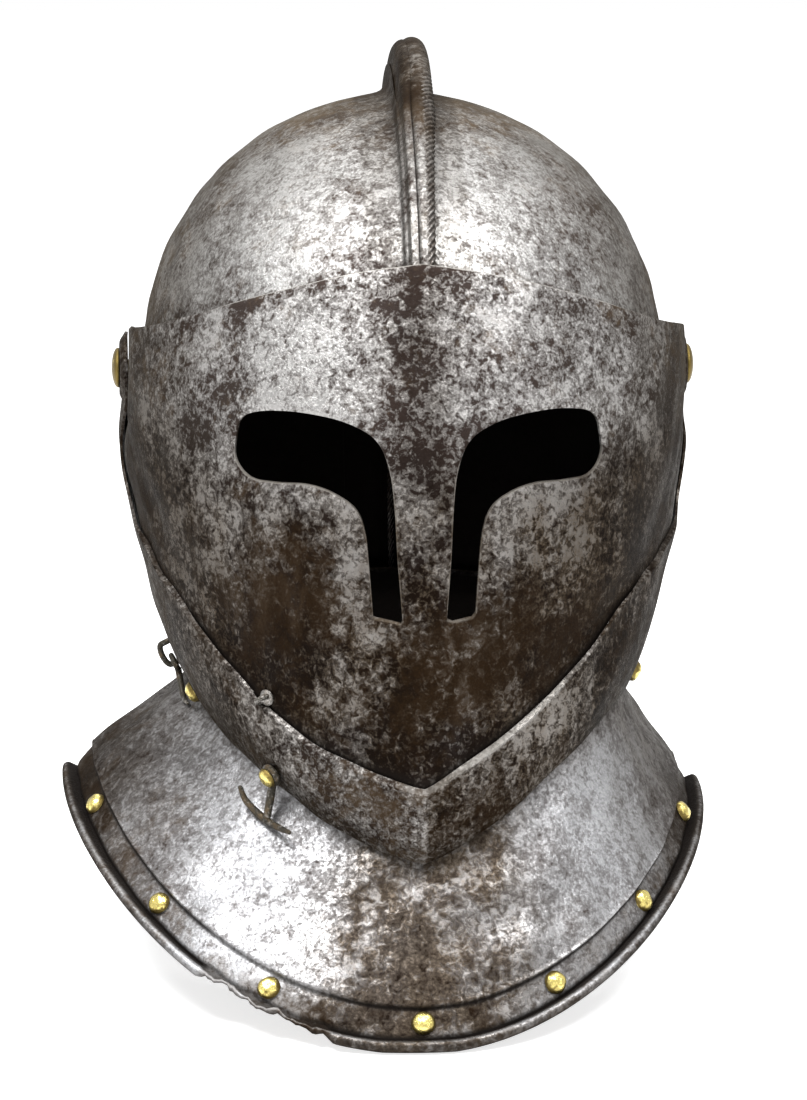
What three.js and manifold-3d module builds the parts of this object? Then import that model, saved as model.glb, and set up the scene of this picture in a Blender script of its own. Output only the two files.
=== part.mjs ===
import * as THREE from 'three';
import { mergeVertices } from 'three/addons/utils/BufferGeometryUtils.js';
import Module from 'manifold-3d';

const wasm = await Module();
wasm.setup();

// A close helmet: two-piece skull with a roped comb, a full-face visor with L-shaped eye slots, a bevor that
// closes over the visor's lower edge, and a flared gorget plate in front and behind.
// Millimetres, +Z up, the face towards -Y, the foot of the gorget on z = 0.
// All shell shapes are written about the pivot axis, which runs through both temples along X.

// Place of the pivot axis
const pivotHeight = 205;
const pivotSetback = 12.5;
const headOffset = 6.5;

// Clearances
const meshGap = 0.3;
const holeClearance = 0.55;
const slideGap = 2;
const facetGap = 1;
const headGap = 0.7;
const tailGap = 0.6;
const cutOverrun = 12;

// Skull: an upper and a lower half-ellipsoid about one centre, a little behind the pivot axis
const skullHalfWidth = 94;
const skullHalfLength = 115;
const skullCrownRise = 95;
const skullLowerReach = 190;
const skullCentreSetback = 12;
const skullCentreRise = 2;
const skullSheet = 2;
const browEdgeRise = 36;
const neckLineDrop = 104;
const neckLineSetback = 20;
const neckCornerReach = 9;

// Comb on the seam of the two skull halves
const combHeight = 21;
const combBaseHalfWidth = 17;
const combBladeHalfWidth = 4.2;
const combRollRadius = 4.4;
const combFilletWidth = 4.2;

// Visor
const visorStandoff = 8.6;
const faceStandoff = 17;
const visorSheet = 1.8;
const dishDepth = 4.2;
const dishRadius = 22;
const visorTuck = 3;

// Bevor
const bevorSheet = 2.2;
const bevorSkew = 2.2;

// Gorget
const gorgetSheet = 1.8;
const rimHalfWidth = 114.5;
const rimFrontReach = 161;
const rimRearReach = 136;
const groundFlat = 0.4;
const rimSideDrop = 152;
const rimTilt = 4;
const rimRollRadius = 3;
const borderStep = 1.2;
const neckTuck = 8;
const gorgetLean = -8;
const sideLap = 2;
const lapShortShare = 0.2;

// Brass-capped rivets
const rivetHeadRadius = 3.9;
const rivetHeadHeight = 2.4;
const rivetShankRadius = 1.8;
const rivetTailRadius = 2.8;
const rivetTailHeight = 0.7;

// Pivot bolts
const pivotHeadRadius = 7.2;
const pivotHeadHeight = 3;
const pivotShankRadius = 3;
const pivotNutRadius = 6;
const pivotNutHeight = 2.6;

// Hooks and pierced studs
const hookBarRadius = 1.3;
const hookReach = 20;
const hookEyeRadius = 4.2;
const hookRivetHeadRadius = 3.6;
const studEyeRadius = 2.9;
const studWireRadius = 1.2;
const studStandoff = 2.2;
const notchClearance = 0.9;
const notchDepth = 10;
const hookRestGap = 0.8;
const stapleWireRadius = 1.1;
const stapleHeight = 8.5;
const stapleStandoff = 5;
const gateEyeRadius = 2.9;
const gateWireRadius = 1;

// Leather lining bands
const leatherSheet = 1.6;

const steel = { colour: 0x8b8c90, roughness: 0.42, metalness: 0.9 };
const brass = { colour: 0xb8913f, roughness: 0.35, metalness: 0.9 };
const iron = { colour: 0x3c372f, roughness: 0.65, metalness: 0.7 };
const leather = { colour: 0x5a3a22, roughness: 0.85, metalness: 0 };

const radians = THREE.MathUtils.degToRad;
const lerp = THREE.MathUtils.lerp;
const clamp = THREE.MathUtils.clamp;
const smooth = (x, low, high) => THREE.MathUtils.smoothstep(x, low, high);

// Smooth curve through a table of [angle, share] pairs in rising order of angle
function tableValue(table, angle) {
  const last = table.length - 1;
  let k = 0;
  while (k < last - 1 && angle > table[k + 1][0]) k += 1;
  const slope = (i) => {
    const low = table[Math.max(i - 1, 0)];
    const high = table[Math.min(i + 1, last)];
    return (high[1] - low[1]) / (high[0] - low[0]);
  };
  const [a0, s0] = table[k];
  const [a1, s1] = table[k + 1];
  const span = a1 - a0;
  const t = clamp((angle - a0) / span, 0, 1);
  const t2 = t * t;
  const t3 = t2 * t;
  return s0 * (2 * t3 - 3 * t2 + 1) + slope(k) * span * (t3 - 2 * t2 + t)
    + s1 * (3 * t2 - 2 * t3) + slope(k + 1) * span * (t3 - t2);
}

// Unit direction from a bearing round the vertical (0 in front, 90 at +X) and a rise above the horizontal
function direction(bearing, rise) {
  const b = radians(bearing);
  const r = radians(rise);
  return new THREE.Vector3(Math.sin(b) * Math.cos(r), -Math.cos(b) * Math.cos(r), Math.sin(r));
}

// Face surface, shared by visor and bevor
// Keel line: angle above the horizontal in the side view, and radius from the pivot axis in faceRadius
const faceRadius = skullHalfLength - skullCentreSetback + faceStandoff;
const faceHalfWidth = skullHalfWidth + visorStandoff;
const keelShares = [
  [-180, 1.1], [-140, 1.2], [-110, 1.32], [-90, 1.33], [-72, 1.44], [-60, 1.55], [-50, 1.575], [-43.5, 1.45],
  [-38, 1.345], [-28.5, 1.2], [-14, 1.06], [0, 0.99], [12, 0.945], [27, 0.925], [60, 0.9], [120, 0.9],
  [180, 1.1],
];
// How bluntly the cross-section turns at the keel: 2 is an ellipse, less gives a ridge
const keelBluntnessShares = [
  [-180, 2], [-95, 2], [-70, 1.85], [-47, 1.62], [-30, 1.75], [0, 1.85], [30, 1.95], [180, 2],
];

function facePoint(bearing, rise, lift) {
  const d = direction(bearing, rise);
  const flat = Math.hypot(d.y, d.z);
  const angle = THREE.MathUtils.radToDeg(Math.atan2(d.z, -d.y));
  const keel = faceRadius * tableValue(keelShares, angle) + lift;
  const power = tableValue(keelBluntnessShares, angle);
  const side = Math.abs(d.x) / (faceHalfWidth + lift);
  const reach = (side ** power + (flat / keel) ** power) ** (-1 / power);
  const point = d.multiplyScalar(reach);
  const ratio = Math.hypot(point.y, point.z) / dishRadius;
  point.x -= Math.sign(point.x) * dishDepth * Math.exp(-(ratio ** 4));
  return point;
}

// Outward unit normal of a surface given as a function of two angles
function surfaceFrame(place, bearing, rise) {
  const probe = 0.5;
  const point = place(bearing, rise);
  const across = place(bearing + probe, rise).sub(place(bearing - probe, rise));
  const up = place(bearing, rise + probe).sub(place(bearing, rise - probe));
  return { point, normal: across.cross(up).normalize(), up: up.normalize() };
}

// Closed plate from matching outer and inner grids
function plateGeometry(rows, columns, place) {
  const positions = [];
  const index = [];
  for (const side of [0, 1]) {
    for (let i = 0; i <= rows; i += 1) {
      for (let j = 0; j <= columns; j += 1) positions.push(...place(i, j, side).toArray());
    }
  }
  const layer = (rows + 1) * (columns + 1);
  const at = (i, j, side) => side * layer + i * (columns + 1) + j;
  const quad = (a, b, c, d) => index.push(a, b, c, a, c, d);
  for (let i = 0; i < rows; i += 1) {
    for (let j = 0; j < columns; j += 1) {
      quad(at(i, j, 0), at(i, j + 1, 0), at(i + 1, j + 1, 0), at(i + 1, j, 0));
      quad(at(i, j, 1), at(i + 1, j, 1), at(i + 1, j + 1, 1), at(i, j + 1, 1));
    }
  }
  for (let i = 0; i < rows; i += 1) {
    quad(at(i, 0, 0), at(i + 1, 0, 0), at(i + 1, 0, 1), at(i, 0, 1));
    quad(at(i + 1, columns, 0), at(i, columns, 0), at(i, columns, 1), at(i + 1, columns, 1));
  }
  for (let j = 0; j < columns; j += 1) {
    quad(at(0, j + 1, 0), at(0, j, 0), at(0, j, 1), at(0, j + 1, 1));
    quad(at(rows, j, 0), at(rows, j + 1, 0), at(rows, j + 1, 1), at(rows, j, 1));
  }
  return closedGeometry(new Float32Array(positions), index);
}

function signedVolume(positions, index) {
  const corner = (k) => new THREE.Vector3().fromArray(positions, 3 * k);
  let total = 0;
  for (let k = 0; k < index.length; k += 3) {
    total += corner(index[k]).dot(corner(index[k + 1]).cross(corner(index[k + 2])));
  }
  return total;
}

function closedGeometry(positions, index) {
  const faces = signedVolume(positions, index) < 0 ? [...index].reverse() : index;
  const geometry = new THREE.BufferGeometry();
  geometry.setAttribute('position', new THREE.BufferAttribute(positions, 3));
  geometry.setIndex(faces);
  return geometry;
}

function solidOf(geometry) {
  const bare = geometry.clone();
  bare.deleteAttribute('normal');
  bare.deleteAttribute('uv');
  const merged = mergeVertices(bare);
  return new wasm.Manifold(new wasm.Mesh({
    numProp: 3,
    vertProperties: new Float32Array(merged.attributes.position.array),
    triVerts: new Uint32Array(merged.index.array),
  }));
}

function geometryOf(solid) {
  const mesh = solid.getMesh();
  const geometry = new THREE.BufferGeometry();
  geometry.setAttribute('position', new THREE.BufferAttribute(new Float32Array(mesh.vertProperties), 3));
  geometry.setIndex(new THREE.BufferAttribute(new Uint32Array(mesh.triVerts), 1));
  return geometry;
}

function cutAway(geometry, cutters) {
  let solid = solidOf(geometry);
  for (const cutter of cutters) solid = solid.subtract(solidOf(cutter));
  return geometryOf(solid);
}

function joined(geometries) {
  let solid = solidOf(geometries[0]);
  for (const extra of geometries.slice(1)) solid = solid.add(solidOf(extra));
  return geometryOf(solid);
}

const group = new THREE.Group();
group.position.set(headOffset, pivotSetback, pivotHeight);

function addPiece(name, geometry, look) {
  const material = new THREE.MeshStandardMaterial({
    color: look.colour,
    roughness: look.roughness,
    metalness: look.metalness,
  });
  const mesh = new THREE.Mesh(geometry, material);
  mesh.name = name;
  group.add(mesh);
  return mesh;
}

// Turns a shape made about +Y so that +Y follows the normal, +X stays level and +Z hangs down, then moves it
function seatMatrix(frame) {
  const outward = frame.normal;
  const level = new THREE.Vector3().crossVectors(frame.up, outward).normalize();
  const downward = new THREE.Vector3().crossVectors(level, outward).normalize();
  return new THREE.Matrix4().makeBasis(level, outward, downward).setPosition(frame.point);
}

function seated(geometry, frame) {
  return geometry.applyMatrix4(seatMatrix(frame));
}

// Rivet with a domed cap outside, a shank through the sheets and a hammered tail inside
function rivetGeometry(headRadius, headHeight, shankRadius, grip, sides) {
  const tail = -grip - tailGap;
  const profile = [
    [0, tail - rivetTailHeight], [rivetTailRadius, tail - rivetTailHeight], [rivetTailRadius, tail],
    [shankRadius, tail], [shankRadius, headGap], [headRadius, headGap],
    [headRadius * 0.72, headGap + headHeight * 0.75], [0, headGap + headHeight],
  ];
  return new THREE.LatheGeometry(profile.map(([x, y]) => new THREE.Vector2(x, y)), sides);
}

function holeGeometry(radius, depth, sides) {
  return new THREE.CylinderGeometry(radius, radius, 2 * depth, sides);
}

const rivetSides = 8;
const holeSides = 6;
const holes = {
  visor: [], bevor: [], front: [], rear: [], frontBand: [], rearBand: [], skullLeft: [], skullRight: [],
};

function addRivet(name, frame, grip, carriers, headRadius = rivetHeadRadius) {
  const geometry = rivetGeometry(headRadius, rivetHeadHeight, rivetShankRadius, grip, rivetSides);
  addPiece(name, seated(geometry, frame), brass);
  for (const carrier of carriers) {
    carrier.push(seated(holeGeometry(rivetShankRadius + holeClearance, cutOverrun / 2, holeSides), frame));
  }
}

// Skull halves: ribs in a fan of planes hinged about a level line at the neck
const fanOrigin = new THREE.Vector3(0, neckLineSetback, -neckLineDrop);
const skullCentre = new THREE.Vector3(0, skullCentreSetback, skullCentreRise);
const browReach = skullHalfLength * Math.sqrt(1 - ((browEdgeRise - skullCentreRise) / skullCrownRise) ** 2)
  - skullCentreSetback;
const fanStart = Math.atan2(browEdgeRise + neckLineDrop, browReach + neckLineSetback);
const fanEnd = Math.PI;
const fanSpread = Math.PI / 2 - Math.atan2(neckCornerReach, skullHalfWidth);

// Height of the comb above the dome as a share of combHeight, against the angle about the pivot axis
const combShares = [
  [20, 0.3], [45, 0.38], [62, 0.47], [74, 0.58], [90, 0.84], [108, 0.98], [125, 1], [150, 0.85], [180, 0.55],
  [200, 0.33], [225, 0.15],
];

// Where a ray from inside meets the dome, the lower half-ellipsoid taking over below the skull's centre
function skullPoint(fan, tilt, lift) {
  const ray = new THREE.Vector3(
    Math.sin(tilt), -Math.cos(tilt) * Math.cos(fan), Math.cos(tilt) * Math.sin(fan),
  );
  const start = fanOrigin.clone().sub(skullCentre);
  const meet = (heightAxis) => {
    const axes = new THREE.Vector3(skullHalfWidth + lift, skullHalfLength + lift, heightAxis + lift);
    const r = ray.clone().divide(axes);
    const s = start.clone().divide(axes);
    const half = r.dot(s);
    const reach = (-half + Math.sqrt(half * half - r.dot(r) * (s.dot(s) - 1))) / r.dot(r);
    return start.clone().addScaledVector(ray, reach);
  };
  const upper = meet(skullCrownRise);
  const point = upper.z > 0 ? upper : meet(skullLowerReach);
  return point.add(skullCentre);
}

function combRise(fan) {
  const foot = skullPoint(fan, 0, 0);
  const angle = THREE.MathUtils.radToDeg(Math.atan2(foot.z, -foot.y));
  return combHeight * tableValue(combShares, angle < 0 ? angle + 360 : angle);
}

// Outline of the comb across one skull half, from the crest to its base: outer and inner points as [x, height]
// The roped half turns over into a roll; the other ends in a narrow fillet beside it.
function combOutline(rise, roped) {
  const seam = meshGap / 2;
  const bases = [[0.27, 0.56], [0.38, 0.3], [0.62, 0.1]];
  const roll = Math.min(combRollRadius, rise * 0.3);
  const middle = [seam + roll, rise - roll];
  const outer = [];
  const inner = [];
  if (roped) {
    for (const turn of [180, 125, 70, 15, -40]) {
      outer.push([middle[0] + roll * Math.cos(radians(turn)), middle[1] + roll * Math.sin(radians(turn))]);
    }
    for (const turn of [205, 218, 231, 244, 257]) {
      inner.push([middle[0] + roll * Math.cos(radians(turn)), middle[1] + roll * Math.sin(radians(turn))]);
    }
  } else {
    const wide = combFilletWidth;
    const drop = roll * 0.3;
    outer.push(
      [seam, rise - drop], [wide * 0.35, rise - drop * 0.8], [wide * 0.7, rise - drop * 0.9],
      [wide, rise - drop * 1.6], [wide * 1.05, rise - drop * 3],
    );
    inner.push(
      [seam, rise - drop * 2.6], [wide * 0.2, rise - drop * 2.8], [wide * 0.35, rise - drop * 3.2],
      [wide * 0.5, rise - drop * 3.8], [wide * 0.55, rise - drop * 4.8],
    );
  }
  const blade = combBladeHalfWidth;
  outer.push([blade, rise - 2.2 * roll]);
  inner.push([Math.max(blade - skullSheet, 2 * seam), rise - 2.5 * roll]);
  for (const [widthShare, heightShare] of bases) {
    const x = lerp(blade, combBaseHalfWidth, widthShare);
    const height = Math.min(heightShare * (rise - 2.4 * roll), rise - 2.6 * roll);
    outer.push([x, height]);
    inner.push([x - skullSheet * (1 - widthShare), height - skullSheet * widthShare]);
  }
  return { outer, inner };
}

const skullRows = 15;
const skullColumns = 9;

function skullHalf(name, side) {
  const roped = side > 0;
  const combPoints = combOutline(combHeight, roped).outer.length;
  const geometry = plateGeometry(skullRows, combPoints + skullColumns, (i, j, layer) => {
    const fan = lerp(fanStart, fanEnd, i / skullRows);
    const rise = combRise(fan);
    const crest = skullPoint(fan, 0, 0).distanceTo(fanOrigin);
    if (j < combPoints) {
      const outline = combOutline(rise, roped);
      const [x, height] = (layer === 0 ? outline.outer : outline.inner)[j];
      const point = skullPoint(fan, Math.atan2(x, crest), 0);
      point.y -= height * Math.cos(fan);
      point.z += height * Math.sin(fan);
      point.x = x * side;
      return point;
    }
    const lift = layer === 0 ? 0 : -skullSheet;
    const columnShare = ((j - combPoints) / skullColumns) ** 1.25;
    const tilt = lerp(Math.atan2(combBaseHalfWidth, crest), fanSpread, columnShare);
    const point = skullPoint(fan, tilt, lift);
    point.x *= side;
    return point;
  });
  return { name, geometry };
}

// Visor edges and bevor edges, as rises against the bearing
const browShares = [
  [0, 25.6], [10, 24.4], [20, 22.4], [33, 19.3], [45, 16], [60, 12.4], [74, 10.2], [88, 8.6], [110, 7.6],
];
const lipShares = [
  [0, -44], [10, -43], [20, -41.8], [28, -40.2], [36, -38], [45, -35.5], [55, -33.3], [66, -31], [78, -28],
  [110, -26],
];
const bevorFootShares = [
  [0, -50.8], [10, -50.3], [20, -49.8], [30, -49.5], [45, -50.4], [60, -52], [75, -53], [90, -54], [115, -54],
];

// The bevor sits a little askew: lower on the wearer's right, higher on the left
const skewAt = (bearing) => bevorSkew * Math.sin(Math.PI * clamp(bearing / bandBearing, -1, 1));
const lipRise = (bearing) => tableValue(lipShares, Math.abs(bearing)) + skewAt(bearing);
const footRise = (bearing) => tableValue(bevorFootShares, Math.abs(bearing)) + skewAt(bearing);

const bandBearing = 78;
const visorRearBearing = 98;
const visorRows = 8;
const visorColumns = 34;
const tuckAngle = THREE.MathUtils.radToDeg(Math.atan2(visorTuck, faceRadius * 1.2));

function evenBearing(share, limit) {
  return limit * (2 * share - 1);
}

function visorGeometry() {
  return plateGeometry(visorRows, visorColumns, (i, j, layer) => {
    const bearing = evenBearing(j / visorColumns, visorRearBearing);
    const top = tableValue(browShares, Math.abs(bearing));
    const bottom = lipRise(bearing) - tuckAngle;
    const rise = lerp(top, bottom, i / visorRows);
    return facePoint(bearing, rise, layer === 0 ? 0 : -visorSheet);
  });
}

// Eye slots: one outline in the front view, drawn for +X and mirrored; shares of slotHalfSpan and slotDrop
const slotHalfSpan = 63;
const slotDrop = 70;
const slotShares = [
  [0.97, -0.1], [0.9, -0.03], [0.72, -0.005], [0.5, -0.02], [0.35, -0.06], [0.24, -0.13], [0.18, -0.26],
  [0.155, -0.45],
  [0.14, -0.7], [0.115, -0.985], [0.27, -0.96], [0.29, -0.72], [0.31, -0.55], [0.36, -0.44], [0.48, -0.375],
  [0.62, -0.345], [0.78, -0.35], [0.91, -0.34], [0.985, -0.25],
];

function slotCutter(side) {
  const corners = slotShares.map(([x, z]) => new THREE.Vector2(x * slotHalfSpan * side, z * slotDrop));
  const shape = new THREE.Shape(corners);
  const geometry = new THREE.ExtrudeGeometry(shape, { depth: 2 * faceRadius, bevelEnabled: false });
  return geometry.rotateX(Math.PI / 2);
}

// Bevor: a band round the chin whose ends turn up into arms; each column runs from the upper to the lower edge
const armFront = [[84, -25.5], [88, -20], [88.5, -13], [85.2, -6.5], [83.2, -1], [84.6, 4.4], [88.6, 7]];
const armRear = [[101, -42], [104, -30], [105, -19], [101.5, -9], [97.6, -1.5], [96, 4.2], [91.6, 7]];
const bevorRows = 5;
const bevorColumns = 40;
const bandFootBearing = 98;

function bevorEdges(j) {
  const half = bevorColumns / 2;
  const side = Math.sign(j - half) || 1;
  const step = Math.abs(j - half);
  const band = half - armFront.length;
  if (step <= band) {
    const share = step / band;
    const upper = bandBearing * share;
    const lower = lerp(bandBearing, bandFootBearing, share ** 3) * share;
    return [[side * upper, lipRise(side * upper)], [side * lower, footRise(side * lower)]];
  }
  const k = step - band - 1;
  return [[side * armFront[k][0], armFront[k][1]], [side * armRear[k][0], armRear[k][1]]];
}

function bevorGeometry() {
  return plateGeometry(bevorRows, bevorColumns, (i, j, layer) => {
    const [upper, lower] = bevorEdges(j);
    const bearing = lerp(upper[0], lower[0], i / bevorRows);
    const rise = lerp(upper[1], lower[1], i / bevorRows);
    return facePoint(bearing, rise, layer === 0 ? slideGap + bevorSheet : slideGap);
  });
}

// Gorget surfaces: from a collar under the bevor or the skull out to a rolled rim
const rimDrop = pivotHeight - rimRollRadius + groundFlat;
const frontPlateauBearing = 6;
const rearPlateauBearing = 148;
const neckRun = 8;
const rimRun = 20;
const frontLeanShare = 0.3;

function rimPoint(bearing) {
  const b = radians(bearing);
  const forward = Math.cos(b);
  const plateau = Math.abs(Math.cos(radians(forward > 0 ? frontPlateauBearing : rearPlateauBearing)));
  const steepness = forward > 0 ? 1.75 : 1.3;
  const share = Math.min(Math.abs(forward) / plateau, 1) ** steepness;
  const leanShare = forward > 0 ? lerp(frontLeanShare, 1, Math.abs(Math.sin(b)) ** 0.7) : 1;
  return new THREE.Vector3(
    gorgetLean * leanShare + rimHalfWidth * Math.sin(b),
    -forward * (forward > 0 ? rimFrontReach : rimRearReach),
    -lerp(rimSideDrop, rimDrop, share) - rimTilt * Math.sin(b) * Math.abs(Math.sin(b)) ** 3,
  );
}

function collarPoint(bearing, rear, low) {
  if (rear) {
    const level = -neckLineDrop + (low ? 0 : neckTuck);
    const lift = -skullSheet - facetGap;
    const share = Math.sqrt(1 - ((level - skullCentreRise) / (skullLowerReach + lift)) ** 2);
    const b = radians(bearing);
    return new THREE.Vector3(
      (skullHalfWidth + lift) * share * Math.sin(b),
      skullCentreSetback - (skullHalfLength + lift) * share * Math.cos(b),
      level,
    );
  }
  const tuck = THREE.MathUtils.radToDeg(neckTuck / (faceRadius * 1.35));
  return facePoint(bearing, footRise(bearing) + (low ? 0 : tuck), slideGap - facetGap);
}

function gorgetSurface(rear) {
  const base = (bearing, share) => {
    const top = collarPoint(bearing, rear, false);
    const foot = collarPoint(bearing, rear, true);
    if (share < 0) return foot.clone().lerp(top, -share);
    const rim = rimPoint(bearing);
    const outward = new THREE.Vector3(rim.x - foot.x, rim.y - foot.y, 0).normalize();
    const leave = foot.clone().sub(top).normalize().multiplyScalar(neckRun);
    const arrive = outward.clone().multiplyScalar(-0.5 * rimRun);
    arrive.z = 0.87 * rimRun;
    const curve = new THREE.CubicBezierCurve3(foot, foot.clone().add(leave), rim.clone().add(arrive), rim);
    return curve.getPoint(share);
  };
  // The rear plate's ends pass inside the front plate
  const lapped = (bearing, share) => {
    const lap = rear ? smooth(Math.abs(bearing - 180), 64, 80) : 0;
    const own = base(bearing, share);
    if (lap === 0) return own;
    const turned = bearing > 180 ? bearing - 360 : bearing;
    const kept = share < 0 ? share : share * (1 - lapShortShare);
    return own.lerp(frontGorget(turned, kept, -gorgetSheet - sideLap).point, lap);
  };
  return (bearing, share, lift) => {
    const probe = 0.02;
    const across = lapped(bearing + 1, share).sub(lapped(bearing - 1, share));
    const low = share < 0 ? 0 : Math.min(share + probe, 1);
    const high = share < 0 ? -1 : low - 2 * probe;
    const normal = lapped(bearing, low).sub(lapped(bearing, high)).cross(across).normalize();
    if (normal.x * Math.sin(radians(bearing)) - normal.y * Math.cos(radians(bearing)) < 0) normal.negate();
    return { point: lapped(bearing, share).addScaledVector(normal, lift), normal };
  };
}

const frontGorget = gorgetSurface(false);
const rearGorget = gorgetSurface(true);
const borderShare = 0.81;
const bandMiddleShare = 0.882;
const borderEndShare = 0.96;

// The roll is broken off over a short stretch at the wearer's right of the chin
function rollShare(bearing, rear) {
  if (rear) return lerp(1, 0.35, smooth(Math.abs(bearing - 180), 80, 84));
  const broken = smooth(bearing, -37, -35) * (1 - smooth(bearing, -16, -14));
  return lerp(1, 0.4, broken);
}

const frontSide = 91;
const rearStart = 85;
const gorgetColumns = 30;

function gorgetGeometry(rear, from, to) {
  const surface = rear ? rearGorget : frontGorget;
  const shares = [-1, 0, 0.18, 0.42, 0.64, borderShare];
  const rollOuter = [115, 50, -15, -78];
  const rollInner = [165, 190, 215, 242];
  const rows = shares.length + 3 + rollOuter.length - 1;
  return plateGeometry(gorgetColumns, rows, (i, k, layer) => {
    const bearing = lerp(from, to, i / gorgetColumns);
    const sheet = layer === 0 ? 0 : -gorgetSheet;
    if (k < shares.length) return surface(bearing, shares[k], sheet).point;
    if (k === shares.length) return surface(bearing, borderShare + 0.012, sheet - borderStep).point;
    if (k === shares.length + 1) return surface(bearing, bandMiddleShare, sheet - borderStep).point;
    if (k === shares.length + 2) return surface(bearing, borderEndShare, sheet - borderStep).point;
    const turn = radians((layer === 0 ? rollOuter : rollInner)[k - shares.length - 3]);
    const radius = rimRollRadius * rollShare(bearing, rear);
    const rim = surface(bearing, 1, 0).point;
    const b = radians(bearing);
    rim.x += radius * Math.cos(turn) * Math.sin(b);
    rim.y -= radius * Math.cos(turn) * Math.cos(b);
    rim.z += radius * Math.sin(turn);
    return rim;
  });
}

// Leather strip behind the sunken border
function leatherBand(rear, from, to, columns) {
  const surface = rear ? rearGorget : frontGorget;
  const bandShares = [0.76, 0.83, bandMiddleShare, 0.945];
  return plateGeometry(columns, bandShares.length - 1, (i, k, layer) => {
    const depth = borderStep + gorgetSheet + facetGap + (layer === 0 ? 0 : leatherSheet);
    return surface(lerp(from, to, i / columns), bandShares[k], -depth).point;
  });
}

// Frames for seating small pieces
const bevorFrame = (bearing, rise) => (
  surfaceFrame((b, r) => facePoint(b, r, slideGap + bevorSheet), bearing, rise)
);
const visorFrame = (bearing, rise) => surfaceFrame((b, r) => facePoint(b, r, 0), bearing, rise);

function gorgetFrame(rear, bearing, share) {
  const surface = rear ? rearGorget : frontGorget;
  const { point, normal } = surface(bearing, share, -borderStep);
  return { point, normal, up: new THREE.Vector3(0, 0, 1) };
}

function skullFrame(side, fan, tilt) {
  const place = (a, b) => {
    const point = skullPoint(radians(a), radians(b), 0);
    point.x *= side;
    return point;
  };
  const probe = 0.5;
  const point = place(fan, tilt);
  const along = place(fan + probe, tilt).sub(place(fan - probe, tilt));
  const outward = place(fan, tilt + probe).sub(place(fan, tilt - probe));
  const normal = along.cross(outward).normalize();
  if (normal.dot(point) < 0) normal.negate();
  return { point, normal, up: new THREE.Vector3(0, 0, 1) };
}

// Rivets along the gorget borders, each through the plate and the leather behind it
const borderGrip = gorgetSheet + facetGap + leatherSheet;
const frontRivetBearings = [-72, -48, -25, 0, 25, 48, 72];
const rearRivetBearings = [122, 140, 160, 200, 220, 238];
frontRivetBearings.forEach((bearing, k) => {
  addRivet(`front_gorget_rivet_${k + 1}`, gorgetFrame(false, bearing, bandMiddleShare), borderGrip,
    [holes.front, holes.frontBand]);
});
rearRivetBearings.forEach((bearing, k) => {
  addRivet(`rear_gorget_rivet_${k + 1}`, gorgetFrame(true, bearing, bandMiddleShare), borderGrip,
    [holes.rear, holes.rearBand]);
});

// Rivets that hold each gorget plate to its carrier
const collarGrip = bevorSheet + facetGap + gorgetSheet;
const collarRise = 1.6;
[['collar_rivet_left', -62], ['collar_rivet_right', 62]].forEach(([name, bearing]) => {
  const rise = footRise(bearing) + collarRise;
  addRivet(name, bevorFrame(bearing, rise), collarGrip, [holes.bevor, holes.front]);
});

const napeGrip = skullSheet + facetGap + gorgetSheet;
const napeFan = 177.8;
[['nape_rivet_left', -1, 28], ['nape_rivet_right', 1, 28]].forEach(([name, side, tilt]) => {
  const carrier = side < 0 ? holes.skullLeft : holes.skullRight;
  addRivet(name, skullFrame(side, napeFan, tilt), napeGrip, [carrier, holes.rear]);
});

// Pivot bolts: a brass-capped bolt through bevor arm, visor arm and skull, with a nut plate inside
const pivotSides = 12;
const headEdgeRise = THREE.MathUtils.radToDeg(Math.atan2(pivotHeadRadius, faceHalfWidth));
const stackOutside = facePoint(90, headEdgeRise, slideGap + bevorSheet).x;
const stackInside = skullHalfWidth * Math.sqrt(1 - (skullCentreSetback / skullHalfLength) ** 2) - skullSheet;
const pivotGrip = stackOutside - stackInside + facetGap;

function pivotBolt() {
  const foot = -pivotGrip - pivotNutHeight - 3 * meshGap;
  const profile = [[0, foot], [pivotShankRadius, foot], [pivotShankRadius, headGap], [pivotHeadRadius, headGap]];
  for (const turnShare of [0.3, 0.62]) {
    const turn = turnShare * Math.PI / 2;
    profile.push([pivotHeadRadius * Math.cos(turn), headGap + pivotHeadHeight * Math.sin(turn)]);
  }
  profile.push([0, headGap + pivotHeadHeight]);
  return new THREE.LatheGeometry(profile.map(([x, y]) => new THREE.Vector2(x, y)), pivotSides);
}

function pivotNut() {
  const top = -pivotGrip - 3 * meshGap;
  const bore = pivotShankRadius + meshGap;
  const bottom = top - pivotNutHeight;
  const profile = [[bore, bottom], [pivotNutRadius, bottom], [pivotNutRadius, top], [bore, top], [bore, bottom]];
  return new THREE.LatheGeometry(profile.map(([x, y]) => new THREE.Vector2(x, y)), pivotSides);
}

for (const [name, side] of [['left', -1], ['right', 1]]) {
  const frame = {
    point: new THREE.Vector3(side * stackOutside, 0, 0),
    normal: new THREE.Vector3(side, 0, 0),
    up: new THREE.Vector3(0, 0, 1),
  };
  addPiece(`pivot_bolt_${name}`, seated(pivotBolt(), frame), brass);
  addPiece(`pivot_nut_${name}`, seated(pivotNut(), frame), iron);
  const bore = () => seated(holeGeometry(pivotShankRadius + holeClearance, 2 * cutOverrun, pivotSides), frame);
  holes.visor.push(bore());
  holes.bevor.push(bore());
  (side < 0 ? holes.skullLeft : holes.skullRight).push(bore());
}

// Bar of round section along a curve
function barGeometry(curve, radius, steps, sides) {
  const section = new THREE.Shape();
  section.absarc(0, 0, radius, 0, 2 * Math.PI);
  const points = section.getPoints(sides).slice(0, sides);
  return new THREE.ExtrudeGeometry(new THREE.Shape(points), { steps, bevelEnabled: false, extrudePath: curve });
}

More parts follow.
